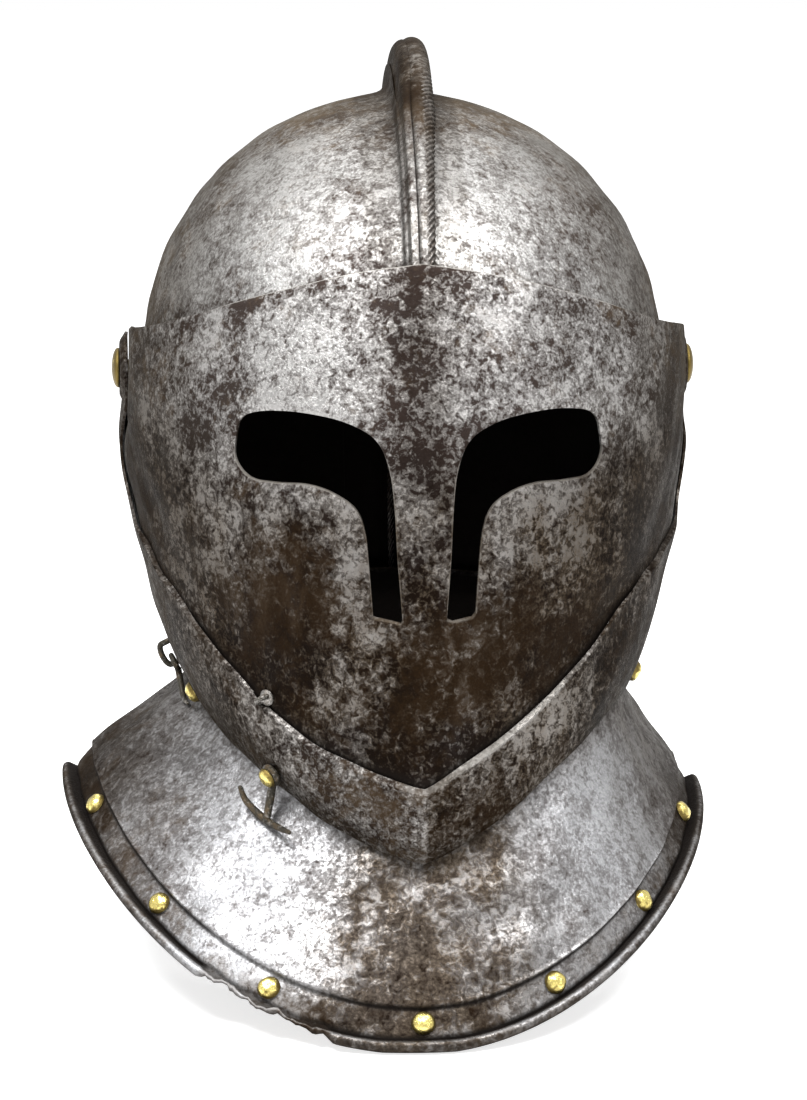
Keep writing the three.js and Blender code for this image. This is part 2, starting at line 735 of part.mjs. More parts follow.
function ringGeometry(middleRadius, wireRadius, sides) {
  const profile = [];
  const corners = 6;
  for (let k = 0; k <= corners; k += 1) {
    const turn = 2 * Math.PI * (k % corners) / corners;
    profile.push(new THREE.Vector2(middleRadius + wireRadius * Math.cos(turn), wireRadius * Math.sin(turn)));
  }
  return new THREE.LatheGeometry(profile, sides);
}

// Pierced stud: a shank through the sheet, ending outside in an eye whose hole runs level along the sheet
function piercedStud(grip) {
  const foot = -grip - tailGap;
  const disc = headGap + studWireRadius;
  const profile = [
    [0, foot - rivetTailHeight], [rivetTailRadius, foot - rivetTailHeight], [rivetTailRadius, foot],
    [rivetShankRadius, foot], [rivetShankRadius, headGap], [rivetTailRadius, headGap], [rivetTailRadius, disc],
    [studWireRadius, disc], [0, disc + studWireRadius / 2],
  ];
  const shank = new THREE.LatheGeometry(profile.map(([x, y]) => new THREE.Vector2(x, y)), rivetSides);
  const eye = ringGeometry(studEyeRadius - studWireRadius, studWireRadius, 12);
  eye.rotateZ(Math.PI / 2);
  eye.translate(0, headGap + studStandoff, 0);
  return joined([shank, eye]);
}

const visorStudBearing = -27.6;
const visorStudRaise = 0.5;
const visorStudRise = lipRise(visorStudBearing) + visorStudRaise;
const visorStudFrame = visorFrame(visorStudBearing, visorStudRise);
addPiece('visor_stud', seated(piercedStud(visorSheet), visorStudFrame), iron);
const studHole = () => holeGeometry(rivetShankRadius + holeClearance, cutOverrun / 2, holeSides);
holes.visor.push(seated(studHole(), visorStudFrame));

// Notch in the bevor's lip for the visor's stud, cut along the path that the bevor swings on
function lipNotch() {
  const width = 2 * (rivetTailRadius + notchClearance);
  const point = visorStudFrame.point;
  const up = new THREE.Vector3(0, point.z, -point.y).normalize();
  const box = new THREE.BoxGeometry(width, cutOverrun, notchDepth);
  box.translate(0, 0, notchDepth / 2 - studEyeRadius);
  return seated(box, { point, normal: visorStudFrame.normal, up });
}

holes.bevor.push(lipNotch());

// Front hook: hangs from its rivet at the foot of the bevor and reaches the visor's stud when it is turned up
const hookBearing = -26.6;
const hookFrame = bevorFrame(hookBearing, footRise(hookBearing) + 2.6);
const hookLift = 2 * meshGap + hookBarRadius;
// Shares of hookReach: across, out from the bevor, and down; the flukes pass over the gorget as the hook turns
const hookShankShares = [[0.06, 0.275, 0.385], [0.165, 0.5, 0.615]];
const hookFlukeShares = [
  [-0.49, 0.475, 0.3], [-0.325, 0.5, 0.49], [0.02, 0.5, 0.62], [0.46, 0.51, 0.595], [0.86, 0.53, 0.52],
];

function curvedBar(points, barRadius, steps) {
  return barGeometry(new THREE.CatmullRomCurve3(points), barRadius, steps, 8);
}

function frontHook() {
  const eyeMiddle = hookEyeRadius - hookBarRadius;
  const place = (shares) => new THREE.Vector3(...shares).multiplyScalar(hookReach);
  const eye = ringGeometry(eyeMiddle, hookBarRadius, 12).translate(0, hookLift, 0);
  const start = new THREE.Vector3(0, hookLift, eyeMiddle);
  const shank = curvedBar([start, ...hookShankShares.map(place)], hookBarRadius, 4);
  const flukes = curvedBar(hookFlukeShares.map(place), hookBarRadius, 9);
  return seated(joined([eye, shank, flukes]), hookFrame);
}

addPiece('front_hook', frontHook(), iron);

function hookRivet() {
  const head = hookLift + hookBarRadius + meshGap;
  const foot = -collarGrip - tailGap;
  const shank = Math.min(rivetShankRadius, hookEyeRadius - 2 * hookBarRadius - meshGap);
  const profile = [
    [0, foot - rivetTailHeight], [rivetTailRadius, foot - rivetTailHeight], [rivetTailRadius, foot],
    [shank, foot],
    [shank, head], [hookRivetHeadRadius, head], [hookRivetHeadRadius * 0.7, head + rivetHeadHeight * 0.7],
    [0, head + rivetHeadHeight],
  ];
  return new THREE.LatheGeometry(profile.map(([x, y]) => new THREE.Vector2(x, y)), rivetSides);
}

addPiece('front_hook_rivet', seated(hookRivet(), hookFrame), brass);
for (const carrier of [holes.bevor, holes.front]) {
  carrier.push(seated(holeGeometry(rivetShankRadius + holeClearance, cutOverrun / 2, holeSides), hookFrame));
}

// Side staple with its gate hook, at the wearer's right of the bevor, and the stud behind that takes the hook
const stapleBearing = -75;
const stapleFrame = bevorFrame(stapleBearing, footRise(stapleBearing) + 4.4);

function stapleGeometry() {
  const half = stapleHeight / 2;
  const foot = -bevorSheet - meshGap - rivetTailHeight;
  const shoulder = stapleStandoff - half * 0.5;
  const place = (height, side) => new THREE.Vector3(0, height, side * half);
  const path = new THREE.CurvePath();
  path.add(new THREE.LineCurve3(place(foot, 1), place(shoulder, 1)));
  path.add(new THREE.CubicBezierCurve3(
    place(shoulder, 1), place(stapleStandoff, 1), place(stapleStandoff, -1), place(shoulder, -1),
  ));
  path.add(new THREE.LineCurve3(place(shoulder, -1), place(foot, -1)));
  return barGeometry(path, stapleWireRadius, 18, 8);
}

addPiece('side_staple', seated(stapleGeometry(), stapleFrame), iron);
for (const side of [-1, 1]) {
  const bore = holeGeometry(stapleWireRadius + holeClearance, cutOverrun / 2, holeSides);
  bore.translate(0, 0, side * stapleHeight / 2);
  holes.bevor.push(seated(bore, stapleFrame));
  if (side > 0) holes.front.push(bore);
}

// Bearing, and share of the way from collar to rim, of the shank's points just clear of the front plate
const gateHookShares = [[-71, 0.25], [-67.2, 0.242]];

function gateHook() {
  const lift = gateWireRadius + 2 * meshGap;
  const eye = ringGeometry(gateEyeRadius, gateWireRadius, 12);
  eye.translate(0, lift, stapleHeight / 2);
  const start = new THREE.Vector3(0, lift, stapleHeight / 2 + gateEyeRadius);
  start.applyMatrix4(seatMatrix(stapleFrame));
  const tipLift = gateWireRadius + hookRestGap;
  const tips = gateHookShares.map(([bearing, share]) => frontGorget(bearing, share, tipLift).point);
  return joined([seated(eye, stapleFrame), curvedBar([start, ...tips], gateWireRadius, 5)]);
}

addPiece('side_hook', gateHook(), iron);

const skullStudFrame = skullFrame(-1, 88, 80);
addPiece('skull_stud', seated(piercedStud(skullSheet), skullStudFrame), iron);
holes.skullLeft.push(seated(studHole(), skullStudFrame));

// Worn flats under the front and rear rims, on which the helmet stands
function groundCutter() {
  const reach = 4 * rimFrontReach;
  const box = new THREE.BoxGeometry(reach, reach, cutOverrun);
  return box.translate(0, 0, -pivotHeight - cutOverrun / 2);
}

const leftHalf = skullHalf('skull_left_half', -1);
const rightHalf = skullHalf('skull_right_half', 1);
addPiece(leftHalf.name, cutAway(leftHalf.geometry, holes.skullLeft), steel);
addPiece(rightHalf.name, cutAway(rightHalf.geometry, holes.skullRight), steel);
addPiece('visor', cutAway(visorGeometry(), [slotCutter(-1), slotCutter(1), ...holes.visor]), steel);
addPiece('bevor', cutAway(bevorGeometry(), holes.bevor), steel);
const frontPlate = gorgetGeometry(false, -frontSide, frontSide);
const rearPlate = gorgetGeometry(true, rearStart, 360 - rearStart);
addPiece('front_gorget_plate', cutAway(frontPlate, [groundCutter(), ...holes.front]), steel);
addPiece('rear_gorget_plate', cutAway(rearPlate, [groundCutter(), ...holes.rear]), steel);
addPiece('front_lining_band', cutAway(leatherBand(false, -82, 82, 16), holes.frontBand), leather);
addPiece('rear_lining_band', cutAway(leatherBand(true, 116, 244, 14), holes.rearBand), leather);

export default group;
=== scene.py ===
"""Close helmet with a roped comb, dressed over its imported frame.

Every shape is worked out about the pivot axis of the visor in millimetres (x to the wearer's left, y back, z up)
and put into the meshes in metres, in the frame's own place.
"""

import logging
import math
from dataclasses import dataclass, field
from enum import Enum
from typing import Callable, Sequence

import bpy
import numpy as np
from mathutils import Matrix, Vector


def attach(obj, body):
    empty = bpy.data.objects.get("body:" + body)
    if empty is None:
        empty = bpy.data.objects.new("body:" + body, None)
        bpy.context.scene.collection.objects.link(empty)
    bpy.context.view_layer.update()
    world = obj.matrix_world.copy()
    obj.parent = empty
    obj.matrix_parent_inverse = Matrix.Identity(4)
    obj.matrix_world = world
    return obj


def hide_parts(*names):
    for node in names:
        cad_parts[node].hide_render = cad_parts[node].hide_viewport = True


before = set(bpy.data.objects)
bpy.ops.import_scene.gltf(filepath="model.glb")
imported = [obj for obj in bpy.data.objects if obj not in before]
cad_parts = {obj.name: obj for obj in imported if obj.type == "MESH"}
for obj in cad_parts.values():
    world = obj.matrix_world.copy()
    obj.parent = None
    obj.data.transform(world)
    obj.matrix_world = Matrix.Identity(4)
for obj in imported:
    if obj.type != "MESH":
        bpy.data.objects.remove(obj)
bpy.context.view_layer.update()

Array = np.ndarray
Colour = tuple[float, float, float]
Table = Sequence[tuple[float, float]]
Place = Callable[[Array, Array], Array]
Material = bpy.types.Material
Node = bpy.types.Node
Socket = bpy.types.NodeSocket

PIVOT = np.array([6.5, 12.5, 205.0])
METRES = 0.001
BEHIND_EARS = 20.0
UP = np.array([0.0, 0.0, 1.0])
log = logging.getLogger("close_helmet")


class Plate(Enum):
    """The two plates of the gorget."""

    FRONT = "front"
    REAR = "rear"


class Side(Enum):
    """Sides as a viewer of the face sees them; the value is the sign of x."""

    LEFT = -1
    RIGHT = 1


# ---------------------------------------------------------------- curves and surfaces


def cubic(p0: Array, p1: Array, m0: Array, m1: Array, t: Array) -> Array:
    """Cubic curve from p0 to p1 with end slopes m0 and m1, at shares t of the way."""
    t2, t3 = t * t, t * t * t
    return p0 * (2 * t3 - 3 * t2 + 1) + m0 * (t3 - 2 * t2 + t) + p1 * (3 * t2 - 2 * t3) + m1 * (t3 - t2)


def table_value(table: Table, x: Array) -> Array:
    """Smooth curve through a table: a cubic between neighbours whose slopes come from the knots on both sides.

    Args:
        table: pairs of place and value in rising order of place.
        x: places to read, any shape.

    Returns:
        The values, in the shape of x.
    """
    knots = np.array(table, float)
    a, s = knots[:, 0], knots[:, 1]
    low = np.maximum(np.arange(len(a)) - 1, 0)
    high = np.minimum(np.arange(len(a)) + 1, len(a) - 1)
    slope = (s[high] - s[low]) / (a[high] - a[low])
    x = np.asarray(x, float)
    k = np.clip(np.searchsorted(a, x, side="left") - 1, 0, len(a) - 2)
    span = a[k + 1] - a[k]
    t = np.clip((x - a[k]) / span, 0, 1)
    return cubic(s[k], s[k + 1], slope[k] * span, slope[k + 1] * span, t)


def smooth(x: Array, low: float, high: float) -> Array:
    """Smooth step from 0 at low to 1 at high: 3t² − 2t³."""
    t = np.clip((np.asarray(x, float) - low) / (high - low), 0, 1)
    return t * t * (3 - 2 * t)


def direction(bearing: Array, rise: Array) -> Array:
    """Unit vectors from bearings round the vertical (0 in front, 90 at +x) and rises above the horizontal."""
    b, r = np.radians(bearing), np.radians(rise)
    return np.stack([np.sin(b) * np.cos(r), -np.cos(b) * np.cos(r), np.sin(r)], -1)


def unit(v: Array) -> Array:
    """Vectors scaled to length one."""
    return v / np.linalg.norm(v, axis=-1, keepdims=True)


def hammered(points: Array, depth: float) -> Array:
    """Shallow hammer waves: the mean of five sines along different directions, 17 to 60 mm long.

    Args:
        points: places in mm, last axis x, y, z.
        depth: height of the waves in mm.

    Returns:
        The offset along the surface's normal at each place, in mm.
    """
    waves = np.array([
        [0.21, 0.04, 0.1], [-0.09, 0.13, 0.24], [0.13, -0.2, -0.09], [0.05, 0.33, -0.16], [0.3, 0.1, -0.2],
    ])
    phases = np.array([0.4, 2.1, 3.3, 5.2, 1.2])
    return depth * np.sin(points @ waves.T + phases).mean(-1) * 1.6


def ragged(x: Array, seed: float) -> Array:
    """Torn outline between about −1 and 1: sines of rising pitch with halving height."""
    total = np.zeros_like(np.asarray(x, float))
    for k in range(6):
        total += np.sin(x * 0.55 * 1.9 ** k + seed * (k + 1.7)) * 0.62 ** k
    return total / 2.0


def spline(points: Array, factor: int) -> Array:
    """Finer points on a cubic curve through given ones, along the second-last axis.

    Args:
        points: array (..., k, d).
        factor: new steps per old step.

    Returns:
        Array (..., (k − 1)·factor + 1, d): at each step a cubic whose end slopes are half the neighbours' difference.
    """
    count = points.shape[-2]
    u = np.arange((count - 1) * factor + 1) / factor
    k = np.minimum(u.astype(int), count - 2)
    slope = np.gradient(points, axis=-2)
    ends = points[..., k, :], points[..., k + 1, :], slope[..., k, :], slope[..., k + 1, :]
    return cubic(*ends, (u - k)[:, None])


@dataclass(frozen=True)
class Seat:
    """Place on a surface for a small piece: its point, outward normal and the way that counts as up."""

    point: Array
    normal: Array
    up: Array

    def put(self, local: Array) -> Array:
        """Moves shapes made with +y outward, +x level and +z hanging down to the seat."""
        level = unit(np.cross(self.up, self.normal))
        down = unit(np.cross(level, self.normal))
        return self.point + local @ np.stack([level, self.normal, down])


@dataclass
class FaceForm:
    """Surface that the visor and the bevor share: about the pivot, a superellipse between a keel line and the sides.

    With d the direction, f its length in the side view, K(angle) the keel's radius, W the half width and p(angle)
    the bluntness, the point is d·((|dx|/W)^p + (f/K)^p)^(−1/p); a dish round each pivot draws the sides in.
    """

    radius: float = 120.0
    half_width: float = 102.6
    dish_depth: float = 4.2
    dish_radius: float = 22.0
    crease: float = 2.0
    crease_reach: float = 7.0
    skew: float = 2.2
    wave_depth: float = 0.4
    band_bearing: float = 78.0
    keel: Table = (
        (-180, 1.1), (-140, 1.2), (-110, 1.32), (-90, 1.33), (-72, 1.44), (-60, 1.55), (-50, 1.575), (-43.5, 1.45),
        (-38, 1.345), (-28.5, 1.2), (-14, 1.06), (0, 0.99), (12, 0.945), (27, 0.925), (60, 0.9), (120, 0.9), (180, 1.1),
    )
    bluntness: Table = (
        (-180, 2), (-95, 2), (-70, 1.85), (-47, 1.62), (-30, 1.75), (0, 1.85), (30, 1.95), (180, 2),
    )
    brow_rises: Table = (
        (0, 25.6), (10, 24.4), (20, 22.4), (33, 19.3), (45, 16), (60, 12.4), (74, 10.2), (88, 8.6), (110, 7.6),
    )
    lip_rises: Table = (
        (0, -44), (10, -43), (20, -41.8), (28, -40.2), (36, -38), (45, -35.5), (55, -33.3), (66, -31), (78, -28),
        (110, -26),
    )
    foot_rises: Table = (
        (0, -50.8), (10, -50.3), (20, -49.8), (30, -49.5), (45, -50.4), (60, -52), (75, -53), (90, -54), (115, -54),
    )

    def place(self, bearing: Array, rise: Array, lift: Array | float) -> Array:
        """Points at bearings and rises in degrees, lifted off the surface by mm."""
        d = direction(bearing, rise)
        flat = np.hypot(d[..., 1], d[..., 2])
        angle = np.degrees(np.arctan2(d[..., 2], -d[..., 1]))
        keel = self.radius * table_value(self.keel, angle) + lift
        power = table_value(self.bluntness, angle)
        side = np.abs(d[..., 0]) / (self.half_width + lift)
        reach = (side ** power + (flat / keel) ** power) ** (-1 / power)
        point = d * reach[..., None]
        ratio = np.hypot(point[..., 1], point[..., 2]) / self.dish_radius
        point[..., 0] -= np.sign(point[..., 0]) * self.dish_depth * np.exp(-(ratio ** 4))
        ridge = self.crease * np.exp(-np.abs(point[..., 0]) / self.crease_reach) * smooth(-angle, 18, 46)
        return point * (1 + ridge / np.linalg.norm(point, axis=-1))[..., None]

    def waves(self, bearing: Array, rise: Array) -> Array:
        """Hammer waves of the visor's sheet, in mm."""
        return hammered(self.place(bearing, rise, 0.0), self.wave_depth)

    def skew_at(self, bearing: Array) -> Array:
        """The bevor sits askew: lower on the viewer's left, by a sine over the band."""
        return self.skew * np.sin(np.pi * np.clip(np.asarray(bearing) / self.band_bearing, -1, 1))

    def lip_rise(self, bearing: Array) -> Array:
        """Rise of the seam between visor and bevor."""
        return table_value(self.lip_rises, np.abs(bearing)) + self.skew_at(bearing)

    def foot_rise(self, bearing: Array) -> Array:
        """Rise of the bevor's lower edge."""
        return table_value(self.foot_rises, np.abs(bearing)) + self.skew_at(bearing)

    def seat(self, bearing: float, rise: float, lift: float) -> Seat:
        """Seat on the surface at one bearing and rise; the normal comes from points half a degree to each side."""
        probe = 0.5
        at = lambda b, r: self.place(b, r, lift)
        across = at(bearing + probe, rise) - at(bearing - probe, rise)
        up = at(bearing, rise + probe) - at(bearing, rise - probe)
        return Seat(at(bearing, rise), unit(np.cross(across, up)), unit(up))


@dataclass
class SkullForm:
    """Dome of the skull: rays from a point at the neck meet an upper and a lower half-ellipsoid about one centre."""

    axes: tuple[float, float, float] = (94.0, 115.0, 95.0)
    lower_reach: float = 190.0
    centre: tuple[float, float, float] = (0.0, 12.0, 2.0)
    fan_origin: tuple[float, float, float] = (0.0, 20.0, -104.0)
    brow_edge_rise: float = 36.0
    neck_corner_reach: float = 9.0
    sheet: float = 2.0

    def place(self, fan: Array, tilt: Array, lift: float) -> Array:
        """Points at fan angles (0 ahead, 90 up, 180 back) and tilts to the side, in radians."""
        ray = np.stack([np.sin(tilt), -np.cos(tilt) * np.cos(fan), np.cos(tilt) * np.sin(fan)], -1)
        start = np.array(self.fan_origin) - np.array(self.centre)

        def meet(height_axis: float) -> Array:
            """Points where the rays meet an ellipsoid of this height, about its centre."""
            axes = np.array([self.axes[0], self.axes[1], height_axis]) + lift
            r, s = ray / axes, start / axes
            half, square = r @ s, (r * r).sum(-1)
            reach = (-half + np.sqrt(np.maximum(half * half - square * (s @ s - 1), 0))) / square
            return start + ray * reach[..., None]

        upper = meet(self.axes[2])
        return np.where(upper[..., 2:] > 0, upper, meet(self.lower_reach)) + np.array(self.centre)

    @property
    def fan_start(self) -> float:
        """Fan angle of the skull's front edge, under the visor's brow."""
        height = (self.brow_edge_rise - self.centre[2]) / self.axes[2]
        reach = self.axes[1] * math.sqrt(1 - height ** 2) - self.centre[1]
        return math.atan2(self.brow_edge_rise - self.fan_origin[2], reach + self.fan_origin[1])

    @property
    def fan_spread(self) -> float:
        """Tilt of the skull's side edge."""
        return math.pi / 2 - math.atan2(self.neck_corner_reach, self.axes[0])

    def seat(self, side: Side, fan: float, tilt: float) -> Seat:
        """Seat on the dome at a fan angle and a tilt in degrees."""
        probe = 0.5
        mirror = np.array([side.value, 1.0, 1.0])
        at = lambda f, t: self.place(np.radians(f), np.radians(t), 0.0) * mirror
        along = at(fan + probe, tilt) - at(fan - probe, tilt)
        across = at(fan, tilt + probe) - at(fan, tilt - probe)
        point, normal = at(fan, tilt), unit(np.cross(along, across))
        return Seat(point, normal if normal @ point > 0 else -normal, UP)


@dataclass
class GorgetForm:
    """Flared surface from the collar to the rim: at each bearing a cubic curve leaves the collar and meets the rim."""

    face: FaceForm
    skull: SkullForm
    rim_half_width: float = 114.5
    front_reach: float = 161.0
    rear_reach: float = 136.0
    side_drop: float = 152.0
    rim_drop: float = 202.4
    full_drop_bearings: tuple[float, float] = (6.0, 148.0)
    drop_powers: tuple[float, float] = (1.75, 1.3)
    tilt: float = 4.0
    lean: float = -8.0
    front_lean_share: float = 0.3
    neck_run: float = 8.0
    rim_run: float = 20.0
    rim_arrival: tuple[float, float] = (-0.5, 0.87)
    neck_tuck: float = 8.0
    slide_gap: float = 2.0
    facet_gap: float = 1.0
    sheet: float = 1.8
    side_lap: float = 2.0
    lap_short_share: float = 0.2
    border_share: float = 0.81
    band_middle_share: float = 0.882
    border_step: float = 1.2
    roll_radius: float = 3.0
    roll_wire: float = 2.0
    strap: float = 1.6

    def rim(self, bearing: Array) -> Array:
        """Middle of the rolled rim: an ellipse in plan that drops from the sides to the chin and the nape."""
        b = np.radians(bearing)
        sine, forward = np.sin(b), np.cos(b)
        front = forward > 0
        plateau = np.where(front, *(abs(math.cos(math.radians(full))) for full in self.full_drop_bearings))
        share = np.minimum(np.abs(forward) / plateau, 1) ** np.where(front, *self.drop_powers)
        lean = np.where(front, self.front_lean_share + (1 - self.front_lean_share) * np.abs(sine) ** 0.7, 1)
        drop = self.side_drop + (self.rim_drop - self.side_drop) * share
        return np.stack([
            self.lean * lean + self.rim_half_width * sine,
            -forward * np.where(front, self.front_reach, self.rear_reach),
            -drop - self.tilt * sine * np.abs(sine) ** 3,
        ], -1)

    def collar(self, bearing: Array, plate: Plate, low: bool) -> Array:
        """Foot of the collar, or its top when low is False, just inside the bevor or the skull."""
        if plate is Plate.REAR:
            level = self.skull.fan_origin[2] + (0 if low else self.neck_tuck)
            lift = -self.skull.sheet - self.facet_gap
            share = math.sqrt(1 - ((level - self.skull.centre[2]) / (self.skull.lower_reach + lift)) ** 2)
            b = np.radians(bearing)
            return np.stack([
                (self.skull.axes[0] + lift) * share * np.sin(b),
                self.skull.centre[1] - (self.skull.axes[1] + lift) * share * np.cos(b),
                np.full_like(b, level),
            ], -1)
        tuck = 0 if low else math.degrees(self.neck_tuck / (self.face.radius * 1.35))
        return self.face.place(bearing, self.face.foot_rise(bearing) + tuck, self.slide_gap - self.facet_gap)

    def line(self, plate: Plate, bearing: Array, share: Array) -> Array:
        """Points without lift: the collar for shares below 0, then the cubic curve from its foot to the rim."""
        top, foot, rim = self.collar(bearing, plate, False), self.collar(bearing, plate, True), self.rim(bearing)
        outward = rim - foot
        outward[..., 2] = 0
        inward, upward = self.rim_arrival
        arrive = unit(outward) * inward * self.rim_run
        arrive[..., 2] = upward * self.rim_run
        leave = unit(foot - top) * self.neck_run
        t = np.clip(share, 0, 1)[..., None]
        arc = 3 * (foot + leave) * (1 - t) ** 2 * t + 3 * (rim + arrive) * (1 - t) * t ** 2
        curve = foot * (1 - t) ** 3 + arc + rim * t ** 3
        return np.where(share[..., None] < 0, foot + (top - foot) * np.clip(-share, 0, 1)[..., None], curve)

    def lapped(self, plate: Plate, bearing: Array, share: Array) -> Array:
        """The rear plate's ends pass inside the front plate."""
        own = self.line(plate, bearing, share)
        if plate is Plate.FRONT:
            return own
        lap = smooth(np.abs(bearing - 180), 64, 80)[..., None]
        turned = np.where(bearing > 180, bearing - 360, bearing)
        kept = np.where(share < 0, share, share * (1 - self.lap_short_share))
        inside, _ = self.surface(Plate.FRONT, turned, kept, -self.sheet - self.side_lap)
        return own + (inside - own) * lap

    def surface(self, plate: Plate, bearing: Array, share: Array, lift: Array | float) -> tuple[Array, Array]:
        """Points lifted off a plate, and the outward normals, from neighbours along and across it."""
        bearing, share = np.broadcast_arrays(np.asarray(bearing, float), np.asarray(share, float))
        probe = 0.02
        across = self.lapped(plate, bearing + 1, share) - self.lapped(plate, bearing - 1, share)
        low = np.where(share < 0, 0.0, np.minimum(share + probe, 1))
        high = np.where(share < 0, -1.0, low - 2 * probe)
        normal = unit(np.cross(self.lapped(plate, bearing, low) - self.lapped(plate, bearing, high), across))
        b = np.radians(bearing)
        outward = normal[..., 0] * np.sin(b) - normal[..., 1] * np.cos(b)
        normal = np.where(outward[..., None] < 0, -normal, normal)
        return self.lapped(plate, bearing, share) + normal * np.asarray(lift)[..., None], normal

    def seat(self, plate: Plate, bearing: float, share: float) -> Seat:
        """Seat in the sunken border."""
        point, normal = self.surface(plate, bearing, share, -self.border_step)
        return Seat(point, normal, UP)


# ---------------------------------------------------------------- meshes


def lattice(rows: int, columns: int, round_trip: bool = False, closed: bool = False) -> tuple[Array, ...]:
    """Corner numbers a, b, c, d of every cell of a grid, whose columns and then also its rows may meet again."""
    width = columns if round_trip else columns + 1
    i, j = np.meshgrid(np.arange(rows), np.arange(columns), indexing="ij")
    below, right = (i + 1) % rows if closed else i + 1, (j + 1) % width
    return tuple(k.ravel() for k in (i * width + j, i * width + right, below * width + right, below * width + j))


def cell_triangles(a: Array, b: Array, c: Array, d: Array) -> Array:
    """Two triangles for every cell with these corners."""
    return np.concatenate([np.stack([a, b, c], 1), np.stack([a, c, d], 1)])


def cut_lattice(u: Array, v: Array, place: Place, signed: Callable[[Array], Array]) -> tuple[Array, Array, Array]:
    """Cuts holes in a surface grid along a signed distance, with the nearest grid points drawn on to the outline.

    Of every grid edge that crosses the outline, the nearer end moves along the distance's slope until the distance is
    zero. Cells are then halved along the outline and the halves inside it are dropped.

    Args:
        u, v: the grid's two parameters, arrays (rows + 1, columns + 1).
        place: points of the surface for parameters.
        signed: distance in mm of points from the outline, negative inside the hole.

    Returns:
        The moved parameters, flat, and the kept triangles.
    """
    rows, columns = u.shape[0] - 1, u.shape[1] - 1
    value = signed(place(u, v))
    near = np.zeros(u.shape, bool)
    for axis in (0, 1):
        first = np.moveaxis(value, axis, 0)[:-1]
        second = np.moveaxis(value, axis, 0)[1:]
        crossing = first * second < 0
        marks = np.moveaxis(near, axis, 0)
        marks[:-1] |= crossing & (np.abs(first) <= np.abs(second))
        marks[1:] |= crossing & (np.abs(second) < np.abs(first))
    u, v, value, near = u.ravel().copy(), v.ravel().copy(), value.ravel(), near.ravel()
    du = np.abs(np.gradient(u.reshape(rows + 1, -1), axis=1)).ravel()[near] * 0.05
    dv = np.abs(np.gradient(v.reshape(rows + 1, -1), axis=0)).ravel()[near] * 0.05
    mu, mv = u[near], v[near]
    for _ in range(5):
        here = signed(place(mu, mv))
        gu = signed(place(mu + du, mv)) - here
        gv = signed(place(mu, mv + dv)) - here
        scale = here / np.maximum(gu ** 2 + gv ** 2, 1e-12)
        mu = mu - np.clip(scale * gu, -6, 6) * du
        mv = mv - np.clip(scale * gv, -6, 6) * dv
    u[near], v[near], value[near] = mu, mv, 0
    a, b, c, d = lattice(rows, columns)
    other = (value[a] * value[c] < 0)[:, None]
    halves = np.concatenate([
        np.where(other, np.stack([a, b, d], 1), np.stack([a, b, c], 1)),
        np.where(other, np.stack([b, c, d], 1), np.stack([a, c, d], 1)),
    ])
    lowest, highest = value[halves].min(1), value[halves].max(1)
    flat = (lowest == 0) & (highest == 0)
    middle = signed(place(u[halves[flat]].mean(1), v[halves[flat]].mean(1)))
    keep = (lowest >= 0) & (highest > 0)
    keep[np.flatnonzero(flat)[middle > 0]] = True
    return u, v, halves[keep]


def border_edges(triangles: Array) -> Array:
    """Directed edges of a triangle sheet that have no partner running the other way."""
    edges = np.concatenate([triangles[:, [0, 1]], triangles[:, [1, 2]], triangles[:, [2, 0]]])
    count = int(triangles.max()) + 1
    return edges[~np.isin(edges[:, 0] * count + edges[:, 1], edges[:, 1] * count + edges[:, 0])]


def nearest_distance(points: Array, others: Array) -> Array:
    """Distance from each point to the nearest of some others, a block at a time."""
    points, others = points.astype(np.float32), others.astype(np.float32)
    squares = (others ** 2).sum(1)
    nearest = [
        np.sqrt(np.maximum((squares - 2 * block @ others.T).min(1) + (block ** 2).sum(1), 0))
        for block in np.array_split(points, max(len(points) // 2000, 1))
    ]
    return np.concatenate(nearest)


def outline_distance(points: Array, outline: Array) -> Array:
    """Signed distance in a plane from a closed outline, negative inside, by its segments and an even-odd count."""
    start, end = outline, np.roll(outline, -1, axis=0)
    step = end - start
    result = []
    for block in np.array_split(points, max(len(points) // 4000, 1)):
        gap = block[:, None] - start
        t = np.clip((gap * step).sum(-1) / (step * step).sum(-1), 0, 1)
        away = np.linalg.norm(gap - t[..., None] * step, axis=-1).min(1)
        above = (start[:, 1] > block[:, None, 1]) != (end[:, 1] > block[:, None, 1])
        run = np.where(step[:, 1] == 0, 1, step[:, 1])
        crossing = above & (block[:, None, 0] < start[:, 0] + (block[:, None, 1] - start[:, 1]) * step[:, 0] / run)
        result.append(np.where(crossing.sum(1) % 2 == 1, -away, away))
    return np.concatenate(result)


